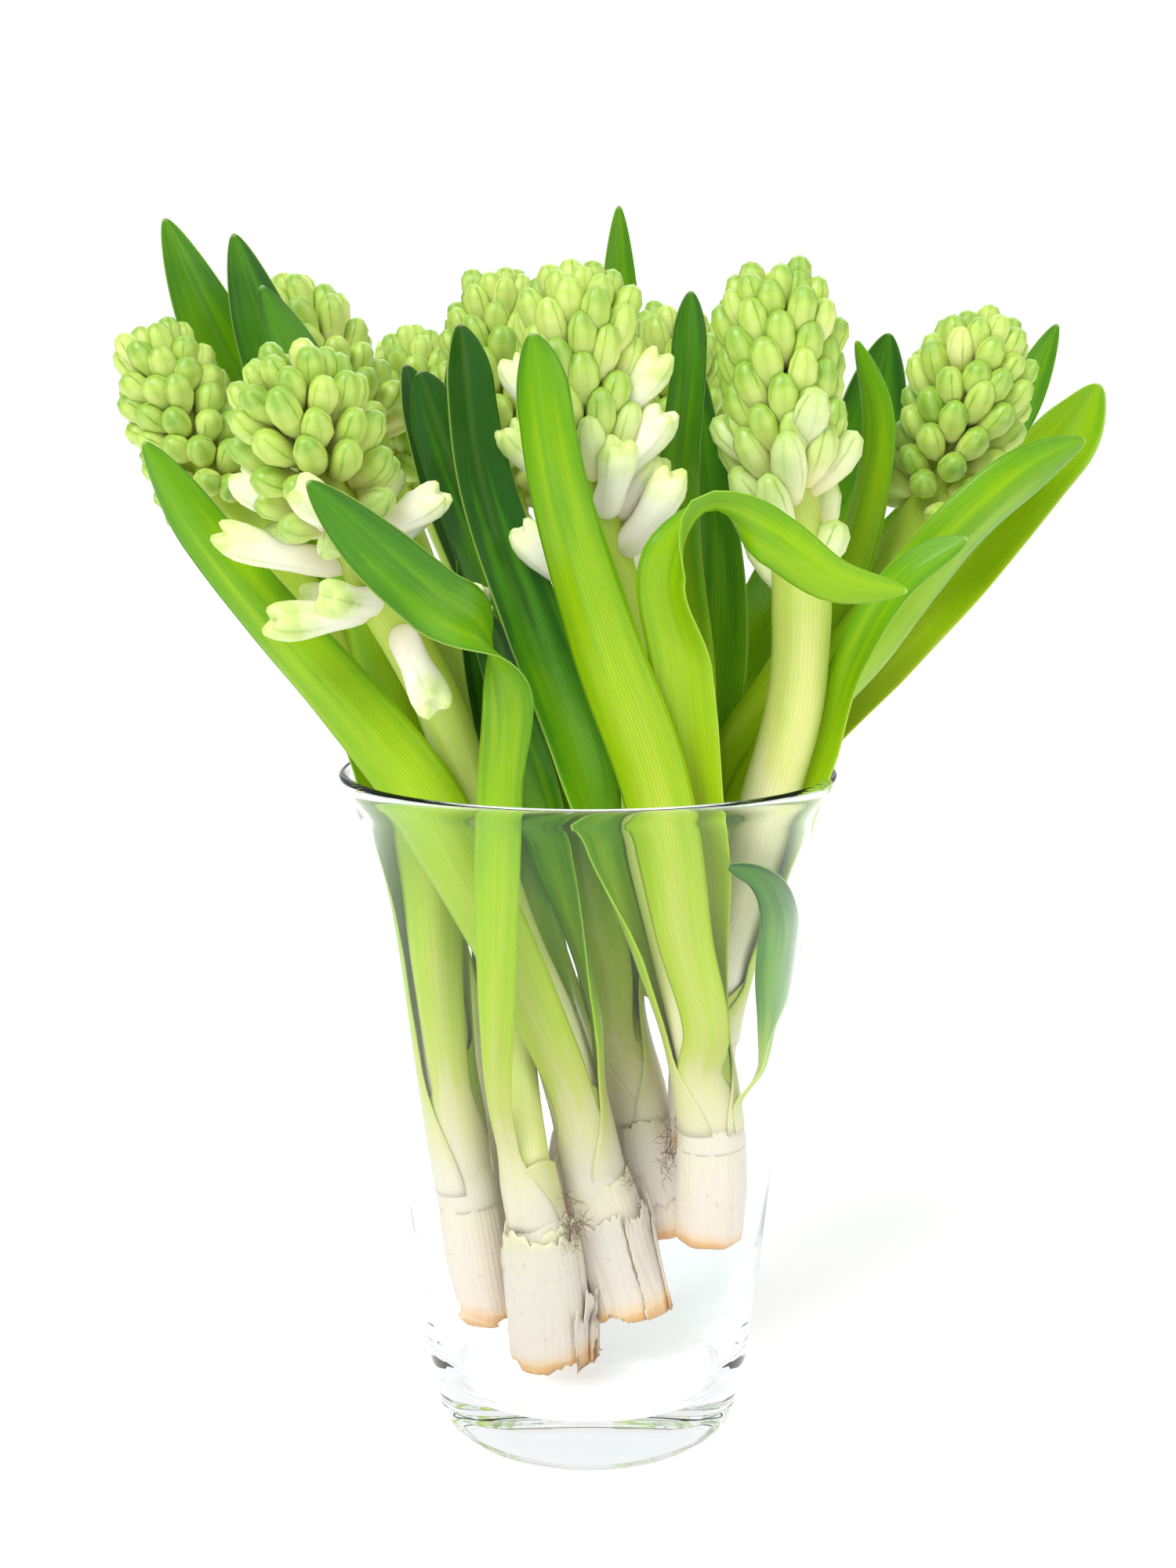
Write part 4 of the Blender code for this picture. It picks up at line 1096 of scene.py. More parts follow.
@dataclass
class Blade:
    """One strap leaf, on the same spine as its solid but with a finer and fuller form."""

    name: str
    plant: Hyacinth
    stalk: Path
    leaf: Leaf
    look: Look
    order: int
    seed: int
    rows: int = 66
    cap_rows: int = 18
    columns: int = 14
    mid_thickness: float = 1.5
    edge_thickness: float = 0.45
    wave_height: float = 0.7

    def spine(self) -> tuple[Path, np.ndarray, float, float]:
        """The leaf's spine, inward direction, sheath radius and the share that hugs."""
        start = self.plant.bulb_length + LEAF_GAP
        radius = self.plant.scape_radius - MEAN_SCAPE_RADIUS + NECK_SHEATH_RADIUS
        radius += 0.45 * self.order - 0.9
        sheath = []
        for share in (0.0, 0.5, 1.0):
            length = start + share * self.leaf.hug
            outward = across(self.leaf.azimuth, self.stalk.along(length))
            sheath.append(self.stalk.at(length) + radius * outward)
        spine = Path(sheath + self.leaf.points)
        inward = -across(self.leaf.azimuth, self.stalk.along(start))
        return spine, inward, radius, spine.knot_lengths[2] / spine.total

    def widths(self, radius: float, share: np.ndarray, hug: float) -> np.ndarray:
        """Half the blade's width at shares of its length."""
        leaf = self.leaf
        least = min(leaf.sheath_half_angle, self.look.wrap)
        wrap = least + (self.look.wrap - least) * (1.0 - ease(0.0, hug * 1.1, share))
        sheath = radius * np.radians(wrap)
        rise = ease(hug * 0.7, 0.52, share)
        body = sheath + (leaf.half_width * self.look.breadth - sheath) * rise
        body = body * (1.0 - self.look.taper * ease(0.50, 0.98, share))
        body = body * (1.0 + (self.look.waist - 1.0) * (1.0 - ease(0.56, 0.80, share)))
        past = np.clip((share - 1.0 + self.look.cap) / self.look.cap, 0.0, 1.0)
        return body * (1.0 - past**1.8) ** 0.72 + 0.35

    def build(self, pieces: Pieces, material: bpy.types.Material) -> None:
        """Skins the blade's sections and dresses them."""
        leaf = self.leaf
        spine, inward, radius, hug = self.spine()
        cap = 1.0 - self.look.cap
        shares = np.concatenate([
            np.linspace(0.0, cap, self.rows, endpoint=False),
            cap + self.look.cap * np.sin(np.linspace(0.0, math.pi / 2, self.cap_rows)),
        ])
        lengths = shares * spine.total * self.look.trim
        tangents, normals = spine.frames(lengths, inward)
        knots = spine.knot_lengths[2:] / spine.total
        twist = self.look.turn or leaf.twist
        held = [twist[-1]] * (len(knots) - 1 - len(twist))
        turns = np.radians(np.interp(shares, knots, [0.0, *twist, *held]))
        widths = self.widths(radius, shares, hug)
        free = ease(hug * 0.8, min(hug + 0.3, 0.9), shares)
        hood = ease(0.88, 1.0, shares)
        cups = leaf.cup * (1 - hood) + 8.0 * hood
        bends = (1 - free) / radius + free / cups
        folds = free * math.radians(leaf.fold) * (1 - 0.4 * hood)
        thick = 1.0 + (self.mid_thickness - 1.0) * free
        halves = 0.5 * thick * (1 - 0.35 * hood)
        rng = np.random.default_rng(self.seed)
        phase = rng.uniform(0.0, 2 * math.pi, 3)
        u = np.linspace(-1.0, 1.0, self.columns + 1)
        u = np.sign(u) * np.abs(u) ** 0.9
        points = []
        for row, turn in enumerate(turns):
            tangent = tangents[row]
            side = np.cross(tangent, normals[row])
            normal = math.cos(turn) * normals[row] + math.sin(turn) * side
            side = np.cross(tangent, normal)
            size = np.abs(u)
            reach = size * widths[row]
            fold = folds[row] * np.minimum(size * 3.0, 1.0)
            angle = fold + bends[row] * reach
            sideways = (np.sin(angle) - np.sin(fold)) / bends[row]
            lift = (np.cos(fold) - np.cos(angle)) / bends[row]
            share = shares[row]
            wave = math.sin(2 * math.pi * 3.2 * share + phase[0]) * (u > 0)
            wave = wave + math.sin(2 * math.pi * 2.7 * share + phase[1]) * (u < 0)
            lift = lift + wave * size**2 * self.wave_height * free[row] * (1 - hood[row])
            place = spine.at(lengths[row])
            middle = place + np.outer(np.copysign(sideways, u), side) + np.outer(lift, normal)
            lean = np.copysign(np.sin(angle), u)
            upright = unit(np.outer(np.cos(angle), normal) - np.outer(lean, side))
            half = halves[row] + (0.5 * self.edge_thickness - halves[row]) * size**2.2
            inner = middle + half[:, None] * upright
            outer = middle - half[:, None] * upright
            points.append(np.concatenate([inner, outer[::-1]]))
        sides = 2 * len(u)
        rows = len(shares)
        grid = np.array(points)
        heights = grid[:, :, 2]
        growth = np.clip((heights - 62.0) / 290.0, 0.0, 1.0) * 0.80 + shares[:, None] * 0.16
        # A negative tone makes a leaf paler; on leaves the lamps leave in shade this is painted light.
        growth = growth + self.look.tone * ease(0.12, 0.45, shares)[:, None]
        growth = growth * (0.36 + 0.64 * ease(0.0, 0.15, shares))[:, None]
        ring_u = np.concatenate([(u + 1) / 2, (u[::-1] + 1) / 2])
        uv = np.stack([np.broadcast_to(ring_u, (rows, sides)),
                       np.broadcast_to(shares[:, None], (rows, sides))], axis=-1)
        obj = Pieces.mesh(self.name + "_blade", grid.reshape(-1, 3),
                          Pieces.skin(rows, sides), "blade", uv.reshape(-1, 2),
                          {"growth": growth.ravel()})
        pieces.finish(obj, material, Slot.LEAF, (self.name,))


@dataclass(frozen=True)
class FloretForm:
    """One floret, modelled once: a primitive reshaped ring by ring into a waxy bud."""

    segments: int
    shares: tuple
    radii: tuple
    keel: float = 0.065
    parting: float = 0.0

    def template(self) -> tuple[np.ndarray, list]:
        """Adds the primitive and reads each vertex's place on the floret.

        Returns:
            Rows of angle, share of the length, relative radius and pole mark, and the faces.
        """
        bpy.ops.object.select_all(action="DESELECT")
        rings = len(self.shares) - 1
        bpy.ops.mesh.primitive_uv_sphere_add(segments=self.segments, ring_count=rings)
        ball = bpy.context.active_object
        places = np.array([vertex.co for vertex in ball.data.vertices])
        faces = [tuple(face.vertices) for face in ball.data.polygons]
        mesh = ball.data
        bpy.data.objects.remove(ball)
        bpy.data.meshes.remove(mesh)
        ring = (1.0 - np.arccos(np.clip(places[:, 2], -1.0, 1.0)) / math.pi) * rings
        angle = np.arctan2(places[:, 1], places[:, 0])
        share = np.interp(ring, np.arange(rings + 1), self.shares)
        radius = np.interp(ring, np.arange(rings + 1), self.radii)
        pole = (np.round(ring) == 0) | (np.round(ring) == rings)
        keeled = np.cos(3 * angle)
        radius = radius * (1.0 + self.keel * keeled * ease(0.15, 0.6, share))
        edge = ease(0.80, 1.0, share) * ~pole
        share = share + self.parting * keeled * edge
        radius = radius * (1.0 + 0.10 * (self.parting > 0) * keeled * edge)
        return np.stack([angle, share, radius, pole], axis=1), faces


BUD_FORM = FloretForm(
    segments=12,
    shares=(0.0, 0.10, 0.34, 0.58, 0.79, 0.94, 1.0),
    radii=(0.0, 0.50, 0.80, 1.0, 0.94, 0.58, 0.0),
)
OPEN_FORM = FloretForm(
    segments=18,
    shares=(0.0, 0.02, 0.08, 0.17, 0.29, 0.43, 0.57, 0.70, 0.82, 0.91, 0.97, 0.985, 0.95, 0.90),
    radii=(0.0, 0.36, 0.64, 0.80, 0.80, 0.78, 0.86, 0.97, 1.0, 0.90, 0.70, 0.50, 0.30, 0.0),
    keel=0.07,
    parting=0.035,
)


@dataclass
class Floret:
    """Where one floret stands on its head, how it leans and how far it has grown."""

    foot: np.ndarray
    axis: np.ndarray
    outward: np.ndarray
    lean: float
    length: float
    half_width: float
    ripeness: float
    spin: float
    bend: float
    tone: float = 0.0


@dataclass
class FlowerHead:
    """The scape, rachis and florets of one hyacinth."""

    name: str
    number: int
    plant: Hyacinth
    dress: Dress
    stalk: Path
    sides: int = 24
    leans: dict = field(default_factory=lambda: {
        Habit.TIGHT: (90.0, 64.0, 47.0, 34.0, 9.0),
        Habit.OPENING: (32.0, 31.0, 31.0, 27.0, 8.0),
        Habit.SPREADING: (84.0, 66.0, 48.0, 34.0, 9.0),
    })
    bends: tuple = (26.0, 44.0, 48.0, 36.0, 8.0)
    stations: tuple = (0.0, 0.22, 0.5, 0.8, 1.0)

    def foot(self) -> float:
        """The length along the stalk at which the head begins."""
        return self.stalk.total - self.plant.head_length

    def dense(self) -> list[Floret]:
        """The crowded buds, a golden angle apart up to the tip of the head."""
        plant = self.plant
        dress = self.dress
        rng = np.random.default_rng(100 + self.number)
        climb = plant.head_length - 15.0
        made = []
        for i in range(dress.florets):
            climbed = ((i + 0.5) / dress.florets) ** 0.84
            height = self.foot() + climb * (dress.bare + (1.0 - dress.bare) * climbed)
            tangents, normals = self.stalk.frames(np.array([height]), EAST)
            tangent = tangents[0]
            normal = normals[0]
            angle = plant.turn + i * GOLDEN_ANGLE + rng.normal(0.0, 0.06)
            outward = math.cos(angle) * normal + math.sin(angle) * np.cross(tangent, normal)
            lean = float(np.interp(climbed, self.stations, self.leans[dress.habit]))
            lean = lean + rng.normal(0.0, 3.5)
            bend = float(np.interp(climbed, self.stations, self.bends))
            ripe = 0.0
            if dress.habit is not Habit.TIGHT:
                ripe = 0.42 * dress.ripest * float(1.0 - ease(0.0, 0.30, climbed))
            crown = float(ease(0.74, 1.0, climbed))
            half_width = 4.4 - 0.6 * crown + 0.2 * ripe + rng.normal(0.0, 0.12)
            dome = 1.0 - 0.42 * float(ease(0.55, 1.0, climbed)) ** 1.5
            root = 5.6 - 2.8 * crown
            target = (plant.head_radius - 3.2 - dress.slim) * dome
            reach = max(math.sin(math.radians(lean + 0.05 * bend)), 0.18)
            length = float(np.clip((target - root) / reach, 15.0 - 0.5 * dress.slim, 20.0))
            length = length * (1.0 - crown) + 14.0 * crown
            length = length + 7.0 * ripe + rng.normal(0.0, 0.5)
            if crown > 0.3:
                root = root + 2.2 * (crown - 0.3) * (i % 3)
            foot = self.stalk.at(height) + root * outward
            made.append(Floret(foot, tangent, outward, lean, length, half_width, ripe,
                               rng.uniform(-0.4, 0.4), bend, rng.normal(0.0, 0.07)))
        return made

    def spurs(self) -> list[Floret]:
        """The long florets below the dense part, each from its foot to its own tip."""
        dress = self.dress
        rng = np.random.default_rng(200 + self.number)
        spots = list(dress.spurs)
        for j in range(dress.behind):
            share = dress.bare * (j + 0.5) / dress.behind
            middle = self.stalk.at(self.foot() + self.plant.head_length * share)
            azimuth = 90.0 + 62.0 * math.cos(2.4 * j)
            tangent = self.stalk.along(self.foot() + self.plant.head_length * share)
            lean = math.radians(84.0 if dress.habit is Habit.SPREADING else 44.0 * dress.splay)
            away = math.sin(lean) * across(azimuth, tangent) + math.cos(lean) * tangent
            spots.append((share, tuple(middle + 29.0 * away)))
        made = []
        for share, tip in spots:
            height = self.foot() + self.plant.head_length * share
            tangent = self.stalk.along(height)
            middle = self.stalk.at(height)
            reach = np.array(tip) - middle
            outward = unit(reach - np.dot(reach, tangent) * tangent)
            foot = middle + 3.4 * outward
            reach = np.array(tip) - foot
            length = float(np.linalg.norm(reach))
            lean = math.degrees(math.acos(np.clip(np.dot(reach, tangent) / length, -1.0, 1.0)))
            made.append(Floret(foot, tangent, outward, lean, length,
                               4.7 + 0.9 * dress.ripest + rng.normal(0.0, 0.15), dress.ripest,
                               rng.uniform(-0.5, 0.5), 22.0, rng.normal(0.0, 0.06)))
        return made

    @staticmethod
    def shape(floret: Floret, template: np.ndarray) -> np.ndarray:
        """The vertices of one floret, bent from its foot towards the stalk's axis."""
        angle, share, radius, _ = template.T
        radius = radius * floret.half_width
        start = math.radians(floret.lean + 0.55 * floret.bend)
        end = math.radians(floret.lean - 0.45 * floret.bend)
        middle = start + (end - start) * share / 2
        here = start + (end - start) * share
        axis = floret.axis
        outward = floret.outward
        side = unit(np.cross(axis, outward))
        reach = np.outer(np.cos(middle), axis) + np.outer(np.sin(middle), outward)
        centre = floret.foot + (share * floret.length)[:, None] * reach
        up = np.outer(np.sin(here), axis) - np.outer(np.cos(here), outward)
        turned = angle + floret.spin
        return (centre + (radius * np.cos(turned))[:, None] * up
                + (radius * np.sin(turned))[:, None] * side)

    def build_florets(self, pieces: Pieces, material: bpy.types.Material) -> None:
        """Copies the floret to its places and joins the copies in one piece."""
        closed = BUD_FORM.template()
        opened = OPEN_FORM.template()
        parts = []
        faces = []
        start = 0
        for floret in self.dense() + self.spurs():
            template, template_faces = opened if floret.ripeness > 0.45 else closed
            count = len(template)
            blank = np.ones(count)
            parts.append(np.column_stack([
                self.shape(floret, template), template[:, 0] / (2 * math.pi) + 0.5,
                template[:, 1], template[:, 3], blank * floret.ripeness, blank * floret.tone,
            ]))
            faces.extend(tuple(index + start for index in face) for face in template_faces)
            start += count
        rows = np.concatenate(parts)
        obj = Pieces.mesh(self.name + "_florets", rows[:, :3], faces, "floret", rows[:, 3:5],
                          {"ripeness": rows[:, 6], "shift": rows[:, 7]}, rows[:, 5] > 0.5)
        pieces.finish(obj, material, Slot.FLORET, (self.name,))

    def build_scape(self, pieces: Pieces, material: bpy.types.Material) -> None:
        """Skins the stalk from the bulb to the tip of the head."""
        plant = self.plant
        start = plant.bulb_length + TOUCH_GAP
        foot = self.foot()
        lengths = np.concatenate([np.linspace(start, foot, 40),
                                  np.linspace(foot + 2.0, self.stalk.total - 9.0, 24)])
        tangents, normals = self.stalk.frames(lengths, EAST)
        into = np.clip((lengths - foot) / plant.head_length, 0.0, 1.0)
        bare = plant.scape_radius * (1.0 - 0.06 * (lengths - start) / (foot - start))
        radii = np.where(lengths <= foot, bare, 0.0)
        inside = plant.scape_radius * 0.94 * (1.0 - into) ** 0.5 * 0.86 + 1.6
        blend = ease(foot - 12.0, foot + 6.0, lengths)
        radii = np.where(lengths <= foot, bare, inside) * (1 - blend) + inside * blend
        turns = np.arange(self.sides) * 2 * math.pi / self.sides
        ribs = 1.0 + 0.018 * np.cos(7 * turns)
        rings = []
        for centre, tangent, normal, radius in zip(self.stalk.at(lengths), tangents, normals,
                                                   radii):
            side = np.cross(tangent, normal)
            ring = np.outer(np.cos(turns), normal) + np.outer(np.sin(turns), side)
            rings.append(centre + (radius * ribs)[:, None] * ring)
        grid = np.array(rings)
        growth = np.clip((grid[:, :, 2] - 70.0) / 190.0, 0.0, 1.0) + self.dress.scape_tone
        uv = np.stack([np.broadcast_to(turns / (2 * math.pi), grid.shape[:2]),
                       np.broadcast_to(((lengths - start) / 100.0)[:, None], grid.shape[:2])],
                      axis=-1)
        obj = Pieces.mesh(self.name + "_scape", grid.reshape(-1, 3),
                          Pieces.skin(len(lengths), self.sides), "stalk", uv.reshape(-1, 2),
                          {"growth": growth.ravel()})
        pieces.finish(obj, material, Slot.FLORET, (self.name,))


@dataclass
class BulbFoot:
    """One peeled bulb with its torn skins, and the neck of leaf sheaths above it."""

    number: int
    plant: Hyacinth
    dress: Dress
    stalk: Path
    sides: int = 64
    rows: int = 40
    neck_rows: int = 30
    skin_thickness: float = 0.4

    def round_frame(self, lengths: np.ndarray, turns: np.ndarray) -> tuple:
        """The centres on the stalk and the directions that point out of it.

        Args:
            lengths: lengths along the stalk, one for each point.
            turns: angles round the stalk, one for each point.

        Returns:
            The centres, the outward directions and the tangents.
        """
        tangents, normals = self.stalk.frames(lengths, EAST)
        sides = np.cross(tangents, normals)
        ring = np.cos(turns)[..., None] * normals + np.sin(turns)[..., None] * sides
        return self.stalk.at(lengths), ring, tangents

    def surface(self, shares: np.ndarray, turns: np.ndarray) -> np.ndarray:
        """The bulb's radius at shares of its length and angles round it."""
        rng = np.random.default_rng(300 + self.number)
        phase = rng.uniform(0.0, 2 * math.pi, 8)
        swell = np.interp(shares, [-0.2, 0.0, 0.05, 0.15, 0.45, 0.80, 0.93, 1.1],
                          [0.93, 0.93, 0.97, 1.0, 1.03, 0.99, 0.93, 0.86])
        uneven = (1.0 + 0.030 * np.cos(2 * turns + phase[0] + 0.6 * shares)
                  + 0.022 * np.cos(3 * turns + phase[1] - 0.8 * shares)
                  + 0.010 * np.cos(7 * turns + phase[2] + shares)
                  + 0.006 * np.cos(13 * turns + phase[3]) + 0.004 * np.cos(23 * turns + phase[4])
                  + 0.012 * np.cos(5.0 * shares + phase[5] + turns))
        for k in range(5):
            centre = phase[6] + k * 1.31 + 0.25 * np.sin(3 * shares + k)
            gap = np.arctan2(np.sin(turns - centre), np.cos(turns - centre))
            depth = (0.012 + 0.010 * (k % 3)) * (1.0 + 0.5 * np.sin(4 * shares + k))
            uneven = uneven - depth * np.exp(-((gap / 0.07) ** 2))
        return self.plant.bulb_radius * swell * uneven

    def build_bulb(self, pieces: Pieces, material: bpy.types.Material) -> None:
        """Skins the bulb, creased along its length, cut below and ragged above."""
        plant = self.plant
        rng = np.random.default_rng(400 + self.number)
        phase = rng.uniform(0.0, 2 * math.pi, 6)
        turns = np.arange(self.sides) * 2 * math.pi / self.sides
        lip = (0.030 * np.cos(2 * turns + phase[0]) + 0.018 * np.cos(5 * turns + phase[1])
               + 0.012 * np.cos(11 * turns + phase[2]) + 0.008 * np.cos(19 * turns + phase[3]))
        lip = lip * float(np.interp(self.dress.collar, [0.84, 0.93], [1.0, 0.35]))
        slope, lean = self.dress.cut_slope
        cut = slope * (np.cos(turns) + 1.0) * 0.5 + lean * (np.sin(turns) + 1.0) * 0.5
        cut = cut + 0.006 * np.cos(6 * turns + phase[4])
        rings = []
        marks = []
        low = ((0.0, 0.35), (0.001, 0.72), (0.004, 0.90), (0.016, 0.97), (0.035, 1.0))
        high = ((0.965, 1.0), (0.99, 0.985), (1.0, 0.955), (0.992, 0.925), (0.96, 0.89),
                (0.93, 0.70))
        body = [(share, 1.0) for share in np.linspace(0.06, 0.93, self.rows)]
        for share, narrow in (*low, *body, *high):
            here = share + cut * (1.0 - share) + lip * ease(0.80, 0.965, share)
            centre, ring, tangents = self.round_frame(here * plant.bulb_length, turns)
            radius = self.surface(np.full(self.sides, share), turns) * narrow
            rings.append(centre + radius[:, None] * ring)
            marks.append(np.full(self.sides, share))
        grid = np.array(rings)
        uv = np.stack([np.broadcast_to(turns / (2 * math.pi), grid.shape[:2]),
                       np.array(marks)], axis=-1)
        obj = Pieces.mesh(f"bulb_{self.number}_peeled", grid.reshape(-1, 3),
                          Pieces.skin(len(rings), self.sides), "bulb", uv.reshape(-1, 2), {})
        pieces.finish(obj, material, Slot.BULB, (f"bulb_{self.number}",))

    def build_flap(self, index: int, flap: Flap, pieces: Pieces,
                   material: bpy.types.Material) -> None:
        """Skins one torn patch of skin that stands a little off the bulb.

        Args:
            index: the patch's number on this bulb.
            flap: the patch's place and form.
            pieces: keeps and finishes the piece.
            material: the skin's finish.
        """
        plant = self.plant
        rng = np.random.default_rng(600 + 10 * self.number + index)
        columns = 24
        rows = 22
        u = np.linspace(-1.0, 1.0, columns)
        v = np.linspace(0.0, 1.0, rows)
        jag = np.cumsum(rng.normal(0.0, 1.0, (2, columns)), axis=1)
        jag = (jag - np.linspace(0, 1, columns) * jag[:, -1:]) * flap.ragged * 0.35
        jag = jag + rng.normal(0.0, flap.ragged * 0.30, (2, columns))
        side = rng.normal(0.0, 0.035, (2, rows)) + 0.05 * np.sin(np.linspace(0, 7, rows))
        low = flap.low + jag[0]
        high = flap.high + jag[1]
        share = low[None, :] + (high - low)[None, :] * v[:, None]
        edge = np.where(u[None, :] < 0, side[0][:, None], side[1][:, None]) * u[None, :] ** 2
        turns = math.radians(flap.azimuth) + (u[None, :] + edge) * math.radians(flap.half_angle)
        radius = self.surface(share, turns)
        lift = flap.lift * (0.35 + 0.65 * (1 - np.abs(u[None, :]) ** 4))
        lift = lift + flap.flare * np.abs(v[:, None] - 0.5) ** 3 * 4.0
        lift = lift + flap.flare * 0.8 * np.abs(u[None, :]) ** 6
        centre, ring, tangents = self.round_frame(share * plant.bulb_length, turns)
        half = 0.5 * self.skin_thickness
        outer = centre + (radius + lift + half)[..., None] * ring
        inner = centre + (radius + lift - half)[..., None] * ring
        grid = np.concatenate([outer, inner[:, ::-1]], axis=1)
        count = 2 * columns
        turn_uv = (turns / (2 * math.pi)) % 1.0
        uv = np.stack([np.concatenate([turn_uv, turn_uv[:, ::-1]], axis=1),
                       np.concatenate([share, share[:, ::-1]], axis=1)], axis=-1)
        faces = []
        for r in range(rows - 1):
            for c in range(count):
                d = (c + 1) % count
                faces.append((r * count + c, r * count + d, (r + 1) * count + d,
                              (r + 1) * count + c))
        for r in (0, rows - 1):
            for c in range(columns - 1):
                faces.append((r * count + c, r * count + c + 1, r * count + count - 2 - c,
                              r * count + count - 1 - c))
        obj = Pieces.mesh(f"bulb_{self.number}_skin_{index}", grid.reshape(-1, 3), faces, "bulb",
                          uv.reshape(-1, 2), {})
        pieces.finish(obj, material, Slot.BULB)

    def build_neck(self, pieces: Pieces, material: bpy.types.Material) -> None:
        """Skins the innermost sheath, which wraps the stalk above the bulb."""
        plant = self.plant
        rng = np.random.default_rng(500 + self.number)
        shares = np.linspace(0.0, 1.0, self.neck_rows)
        start = plant.bulb_length - 5.0
        turns = np.arange(self.sides) * 2 * math.pi / self.sides
        phase = rng.uniform(0.0, 2 * math.pi, 3)
        mouth = 1.0 + 0.26 * np.cos(turns + phase[0]) + 0.05 * np.cos(2 * turns + phase[1])
        rest = plant.scape_radius - MEAN_SCAPE_RADIUS + NECK_SHEATH_RADIUS - 0.7
        base = max(plant.bulb_radius * self.dress.collar, rest)
        outer = []
        inner = []
        for share in shares:
            lengths = start + share * self.dress.neck_rise * mouth
            radius = base + (rest - base) * float(ease(0.0, 0.4, share))
            wobble = 1.0 + 0.010 * np.cos(5 * turns + phase[2] + 2 * share)
            wobble = wobble + 0.012 * np.cos(2 * turns + phase[1] + 3 * share)
            centre, ring, _ = self.round_frame(lengths, turns)
            wall = 0.45 - 0.35 * share
            outer.append(centre + (radius * wobble + wall)[:, None] * ring)
            inner.append(centre + (radius * wobble - wall)[:, None] * ring)
        grid = np.concatenate([np.array(outer), np.array(inner)[::-1]])
        both = np.concatenate([shares, shares[::-1]])
        growth = np.clip((grid[:, :, 2] - 62.0) / 290.0, 0.0, 1.0) * 0.80
        growth = growth + 0.02 + self.dress.neck_tone
        growth = growth * ease(0.12, 0.55, both)[:, None]
        uv = np.stack([np.broadcast_to(turns / (2 * math.pi), grid.shape[:2]),
                       np.broadcast_to((both * self.dress.neck_rise / 300.0)[:, None],
                                       grid.shape[:2])], axis=-1)
        faces = []
        count = len(both)
        for r in range(count):
            nearer = r * self.sides
            further = ((r + 1) % count) * self.sides
            for c in range(self.sides):
                d = (c + 1) % self.sides
                faces.append((nearer + c, nearer + d, further + d, further + c))
        obj = Pieces.mesh(f"neck_{self.number}_sheath", grid.reshape(-1, 3), faces, "blade",
                          uv.reshape(-1, 2), {"growth": growth.ravel()})
        pieces.finish(obj, material, Slot.LEAF)


@dataclass
class FibreTuft:
    """A tangle of dry root fibres caught between two necks."""

    name: str
    centre: tuple
    spread: tuple
    count: int
    seed: int
    sides: int = 3
    joints: int = 8
    radius: float = 0.11

    def build(self, pieces: Pieces, material: bpy.types.Material) -> None:
        """Bends thin strands about the centre and joins them in one piece."""
        rng = np.random.default_rng(self.seed)
        points = []
        faces = []
        for strand in range(self.count):
            start = np.array(self.centre) + rng.normal(0.0, 1.0, 3) * np.array(self.spread)
            heading = unit(rng.normal(0.0, 1.0, 3) * np.array(self.spread))
            places = [start]
            for _ in range(self.joints):
                heading = unit(heading + rng.normal(0.0, 0.35, 3))
                places.append(places[-1] + heading * rng.uniform(0.5, 1.1))
            path = np.array(places)
            along = unit(np.gradient(path, axis=0))
            first = unit(np.cross(along, np.array([0.31, 0.52, 0.79])))
            second = np.cross(along, first)
            sizes = self.radius * (1.0 - 0.7 * np.linspace(0, 1, len(path)) ** 2)
            start_index = strand * len(path) * self.sides
            for place, one, two, size in zip(path, first, second, sizes):
                for c in range(self.sides):
                    turn = 2 * math.pi * c / self.sides
                    points.append(place + size * (math.cos(turn) * one + math.sin(turn) * two))
            faces.extend(Pieces.skin(len(path), self.sides, start_index))
        rows = np.array(points)
        obj = Pieces.mesh(self.name, rows, faces, "strand", rows[:, :2] / 10.0, {})
        pieces.finish(obj, material, Slot.BULB)


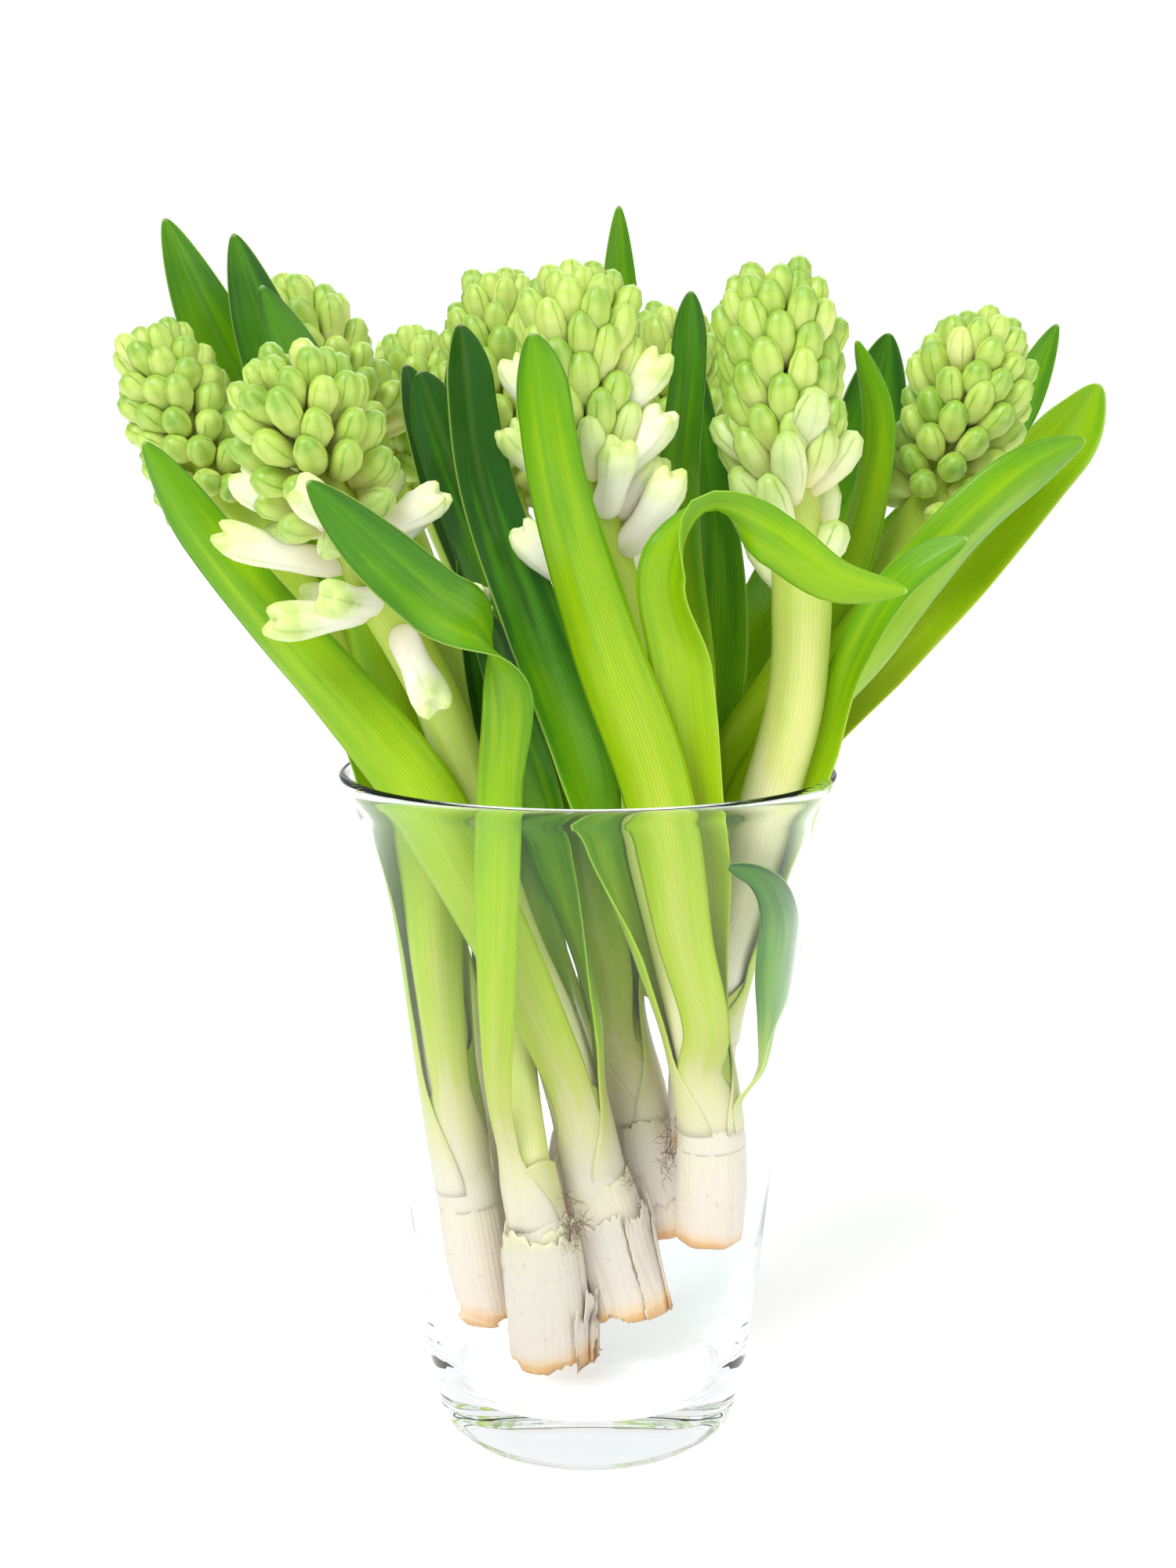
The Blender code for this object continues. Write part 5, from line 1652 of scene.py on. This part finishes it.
@dataclass
class Stage:
    """The table top, the lights and the camera."""

    finish: TableFinish
    table_height: float = -0.0005
    seen: float = 1.04
    lit: float = 0.56
    mirrored: float = 0.48
    key: float = 2.4
    fill: float = 0.8
    back: float = 1.3
    eye: tuple = (0.0, -0.725, 0.326)
    pitch_degrees: float = 80.5
    lens: float = 55.71

    def build(self, effects: TissueEffects) -> None:
        """Lays the table, hangs the lights and stands the camera."""
        bpy.ops.object.select_all(action="DESELECT")
        bpy.ops.mesh.primitive_plane_add(size=8.0, location=(0.0, 0.0, self.table_height))
        table = bpy.context.active_object
        table.name = "table_top"
        table.data.materials.append(self.finish.material(effects))
        world = bpy.data.worlds.new("studio")
        world.use_nodes = True
        tree = world.node_tree
        background = tree.nodes["Background"]
        background.inputs["Color"].default_value = (1.0, 1.0, 1.0, 1.0)
        wire = Wiring(tree)
        rays = wire.add("LightPath")
        seen = wire.maths("MAXIMUM", rays.outputs["Is Camera Ray"],
                          rays.outputs["Is Transmission Ray"])
        strength = wire.add("MapRange", {0: seen, 1: 0.0, 2: 1.0, 3: self.lit, 4: self.seen})
        dimmed = wire.maths("MULTIPLY", rays.outputs["Is Glossy Ray"], self.lit - self.mirrored)
        strength = wire.maths("SUBTRACT", strength.outputs[0], dimmed)
        tree.links.new(strength, background.inputs["Strength"])
        bpy.context.scene.world = world
        light_paths = bpy.context.scene.cycles
        light_paths.max_bounces = 38
        light_paths.glossy_bounces = 38
        light_paths.transmission_bounces = 38
        self._sun("key_light", (-0.5, -0.75, 0.9), self.key, 34.0)
        self._sun("fill_light", (0.8, -0.5, 0.7), self.fill, 60.0)
        self._sun("back_light", (0.15, 0.9, 0.8), self.back, 60.0)
        camera = bpy.data.cameras.new("view")
        camera.sensor_fit = "VERTICAL"
        camera.sensor_height = 36.0
        camera.lens = self.lens
        camera.clip_start = 0.01
        eye = bpy.data.objects.new("view", camera)
        eye.location = self.eye
        eye.rotation_euler = (math.radians(self.pitch_degrees), 0.0, 0.0)
        bpy.context.scene.collection.objects.link(eye)
        bpy.context.scene.camera = eye
        bpy.context.scene.view_settings.view_transform = "Standard"

    @staticmethod
    def _sun(name: str, towards: tuple, power: float, spread: float) -> None:
        """Hangs one wide, soft lamp in a direction; the spread is in degrees."""
        light = bpy.data.lights.new(name, "SUN")
        light.angle = math.radians(spread)
        light.energy = power
        lamp = bpy.data.objects.new(name, light)
        away = unit(np.array(towards))
        lamp.rotation_euler = (math.acos(away[2]), 0.0, math.atan2(away[1], away[0]) + math.pi / 2)
        bpy.context.scene.collection.objects.link(lamp)
        lit = bpy.data.collections.new(name + "_reach")
        lit.objects.link(bpy.data.objects["glass_vase"])
        lamp.light_linking.receiver_collection = lit
        lit.collection_objects[0].light_linking.link_state = "EXCLUDE"


def main() -> None:
    """Builds the vase, the nine hyacinths and the stage, and reports the pieces."""
    logging.basicConfig(level=logging.INFO, format="%(name)s %(message)s")
    effects = TissueEffects()
    pieces = Pieces()
    leaf = LeafFinish("leaf_blade", roughness=0.36, specular=0.22, subsurface=0.20,
                      coat=0.16).material(effects)
    neck = LeafFinish("neck_sheath", roughness=0.40, specular=0.30, subsurface=0.20,
                      coat=0.10, vein_count=58.0, edge_light=0.0).material(effects)
    floret = FloretFinish("floret_wax", roughness=0.42, subsurface=0.35,
                          subsurface_scale=0.004, coat=0.08).material(effects)
    stalk_finish = StalkFinish("fleshy_stalk", roughness=0.38, subsurface=0.25).material(effects)
    bulb = BulbFinish("peeled_bulb", roughness=0.5, subsurface=0.25).material(effects)
    for index, (plant, dress) in enumerate(zip(HYACINTHS, DRESSES)):
        number = index + 1
        stalk = Path(plant.route)
        foot = BulbFoot(number, plant, dress, stalk)
        foot.build_bulb(pieces, bulb)
        for order, flap in enumerate(dress.flaps, start=1):
            foot.build_flap(order, flap, pieces, bulb)
        foot.build_neck(pieces, neck)
        head = FlowerHead(f"flower_{number}", number, plant, dress, stalk)
        head.build_scape(pieces, stalk_finish)
        head.build_florets(pieces, floret)
        for order, blade in enumerate(plant.leaves, start=1):
            name = f"leaf_{number}_{order}"
            Blade(name, plant, stalk, blade, dress.looks[order - 1], order,
                  seed=number * 10 + order).build(pieces, leaf)
    fibres = FibreFinish("root_fibre", roughness=0.7).material(effects)
    for index, (centre, spread, count) in enumerate(TUFTS, start=1):
        FibreTuft(f"fibres_{index}", centre, spread, count, 700 + index).build(pieces, fibres)
    GlassVase(GlassFinish("clear_glass", roughness=0.0)).build(pieces, effects)
    Stage(TableFinish("table_matt", roughness=0.9, specular=0.0)).build(effects)
    LOG.info("%d pieces", len(pieces.made))


if __name__ == "__main__":
    main()
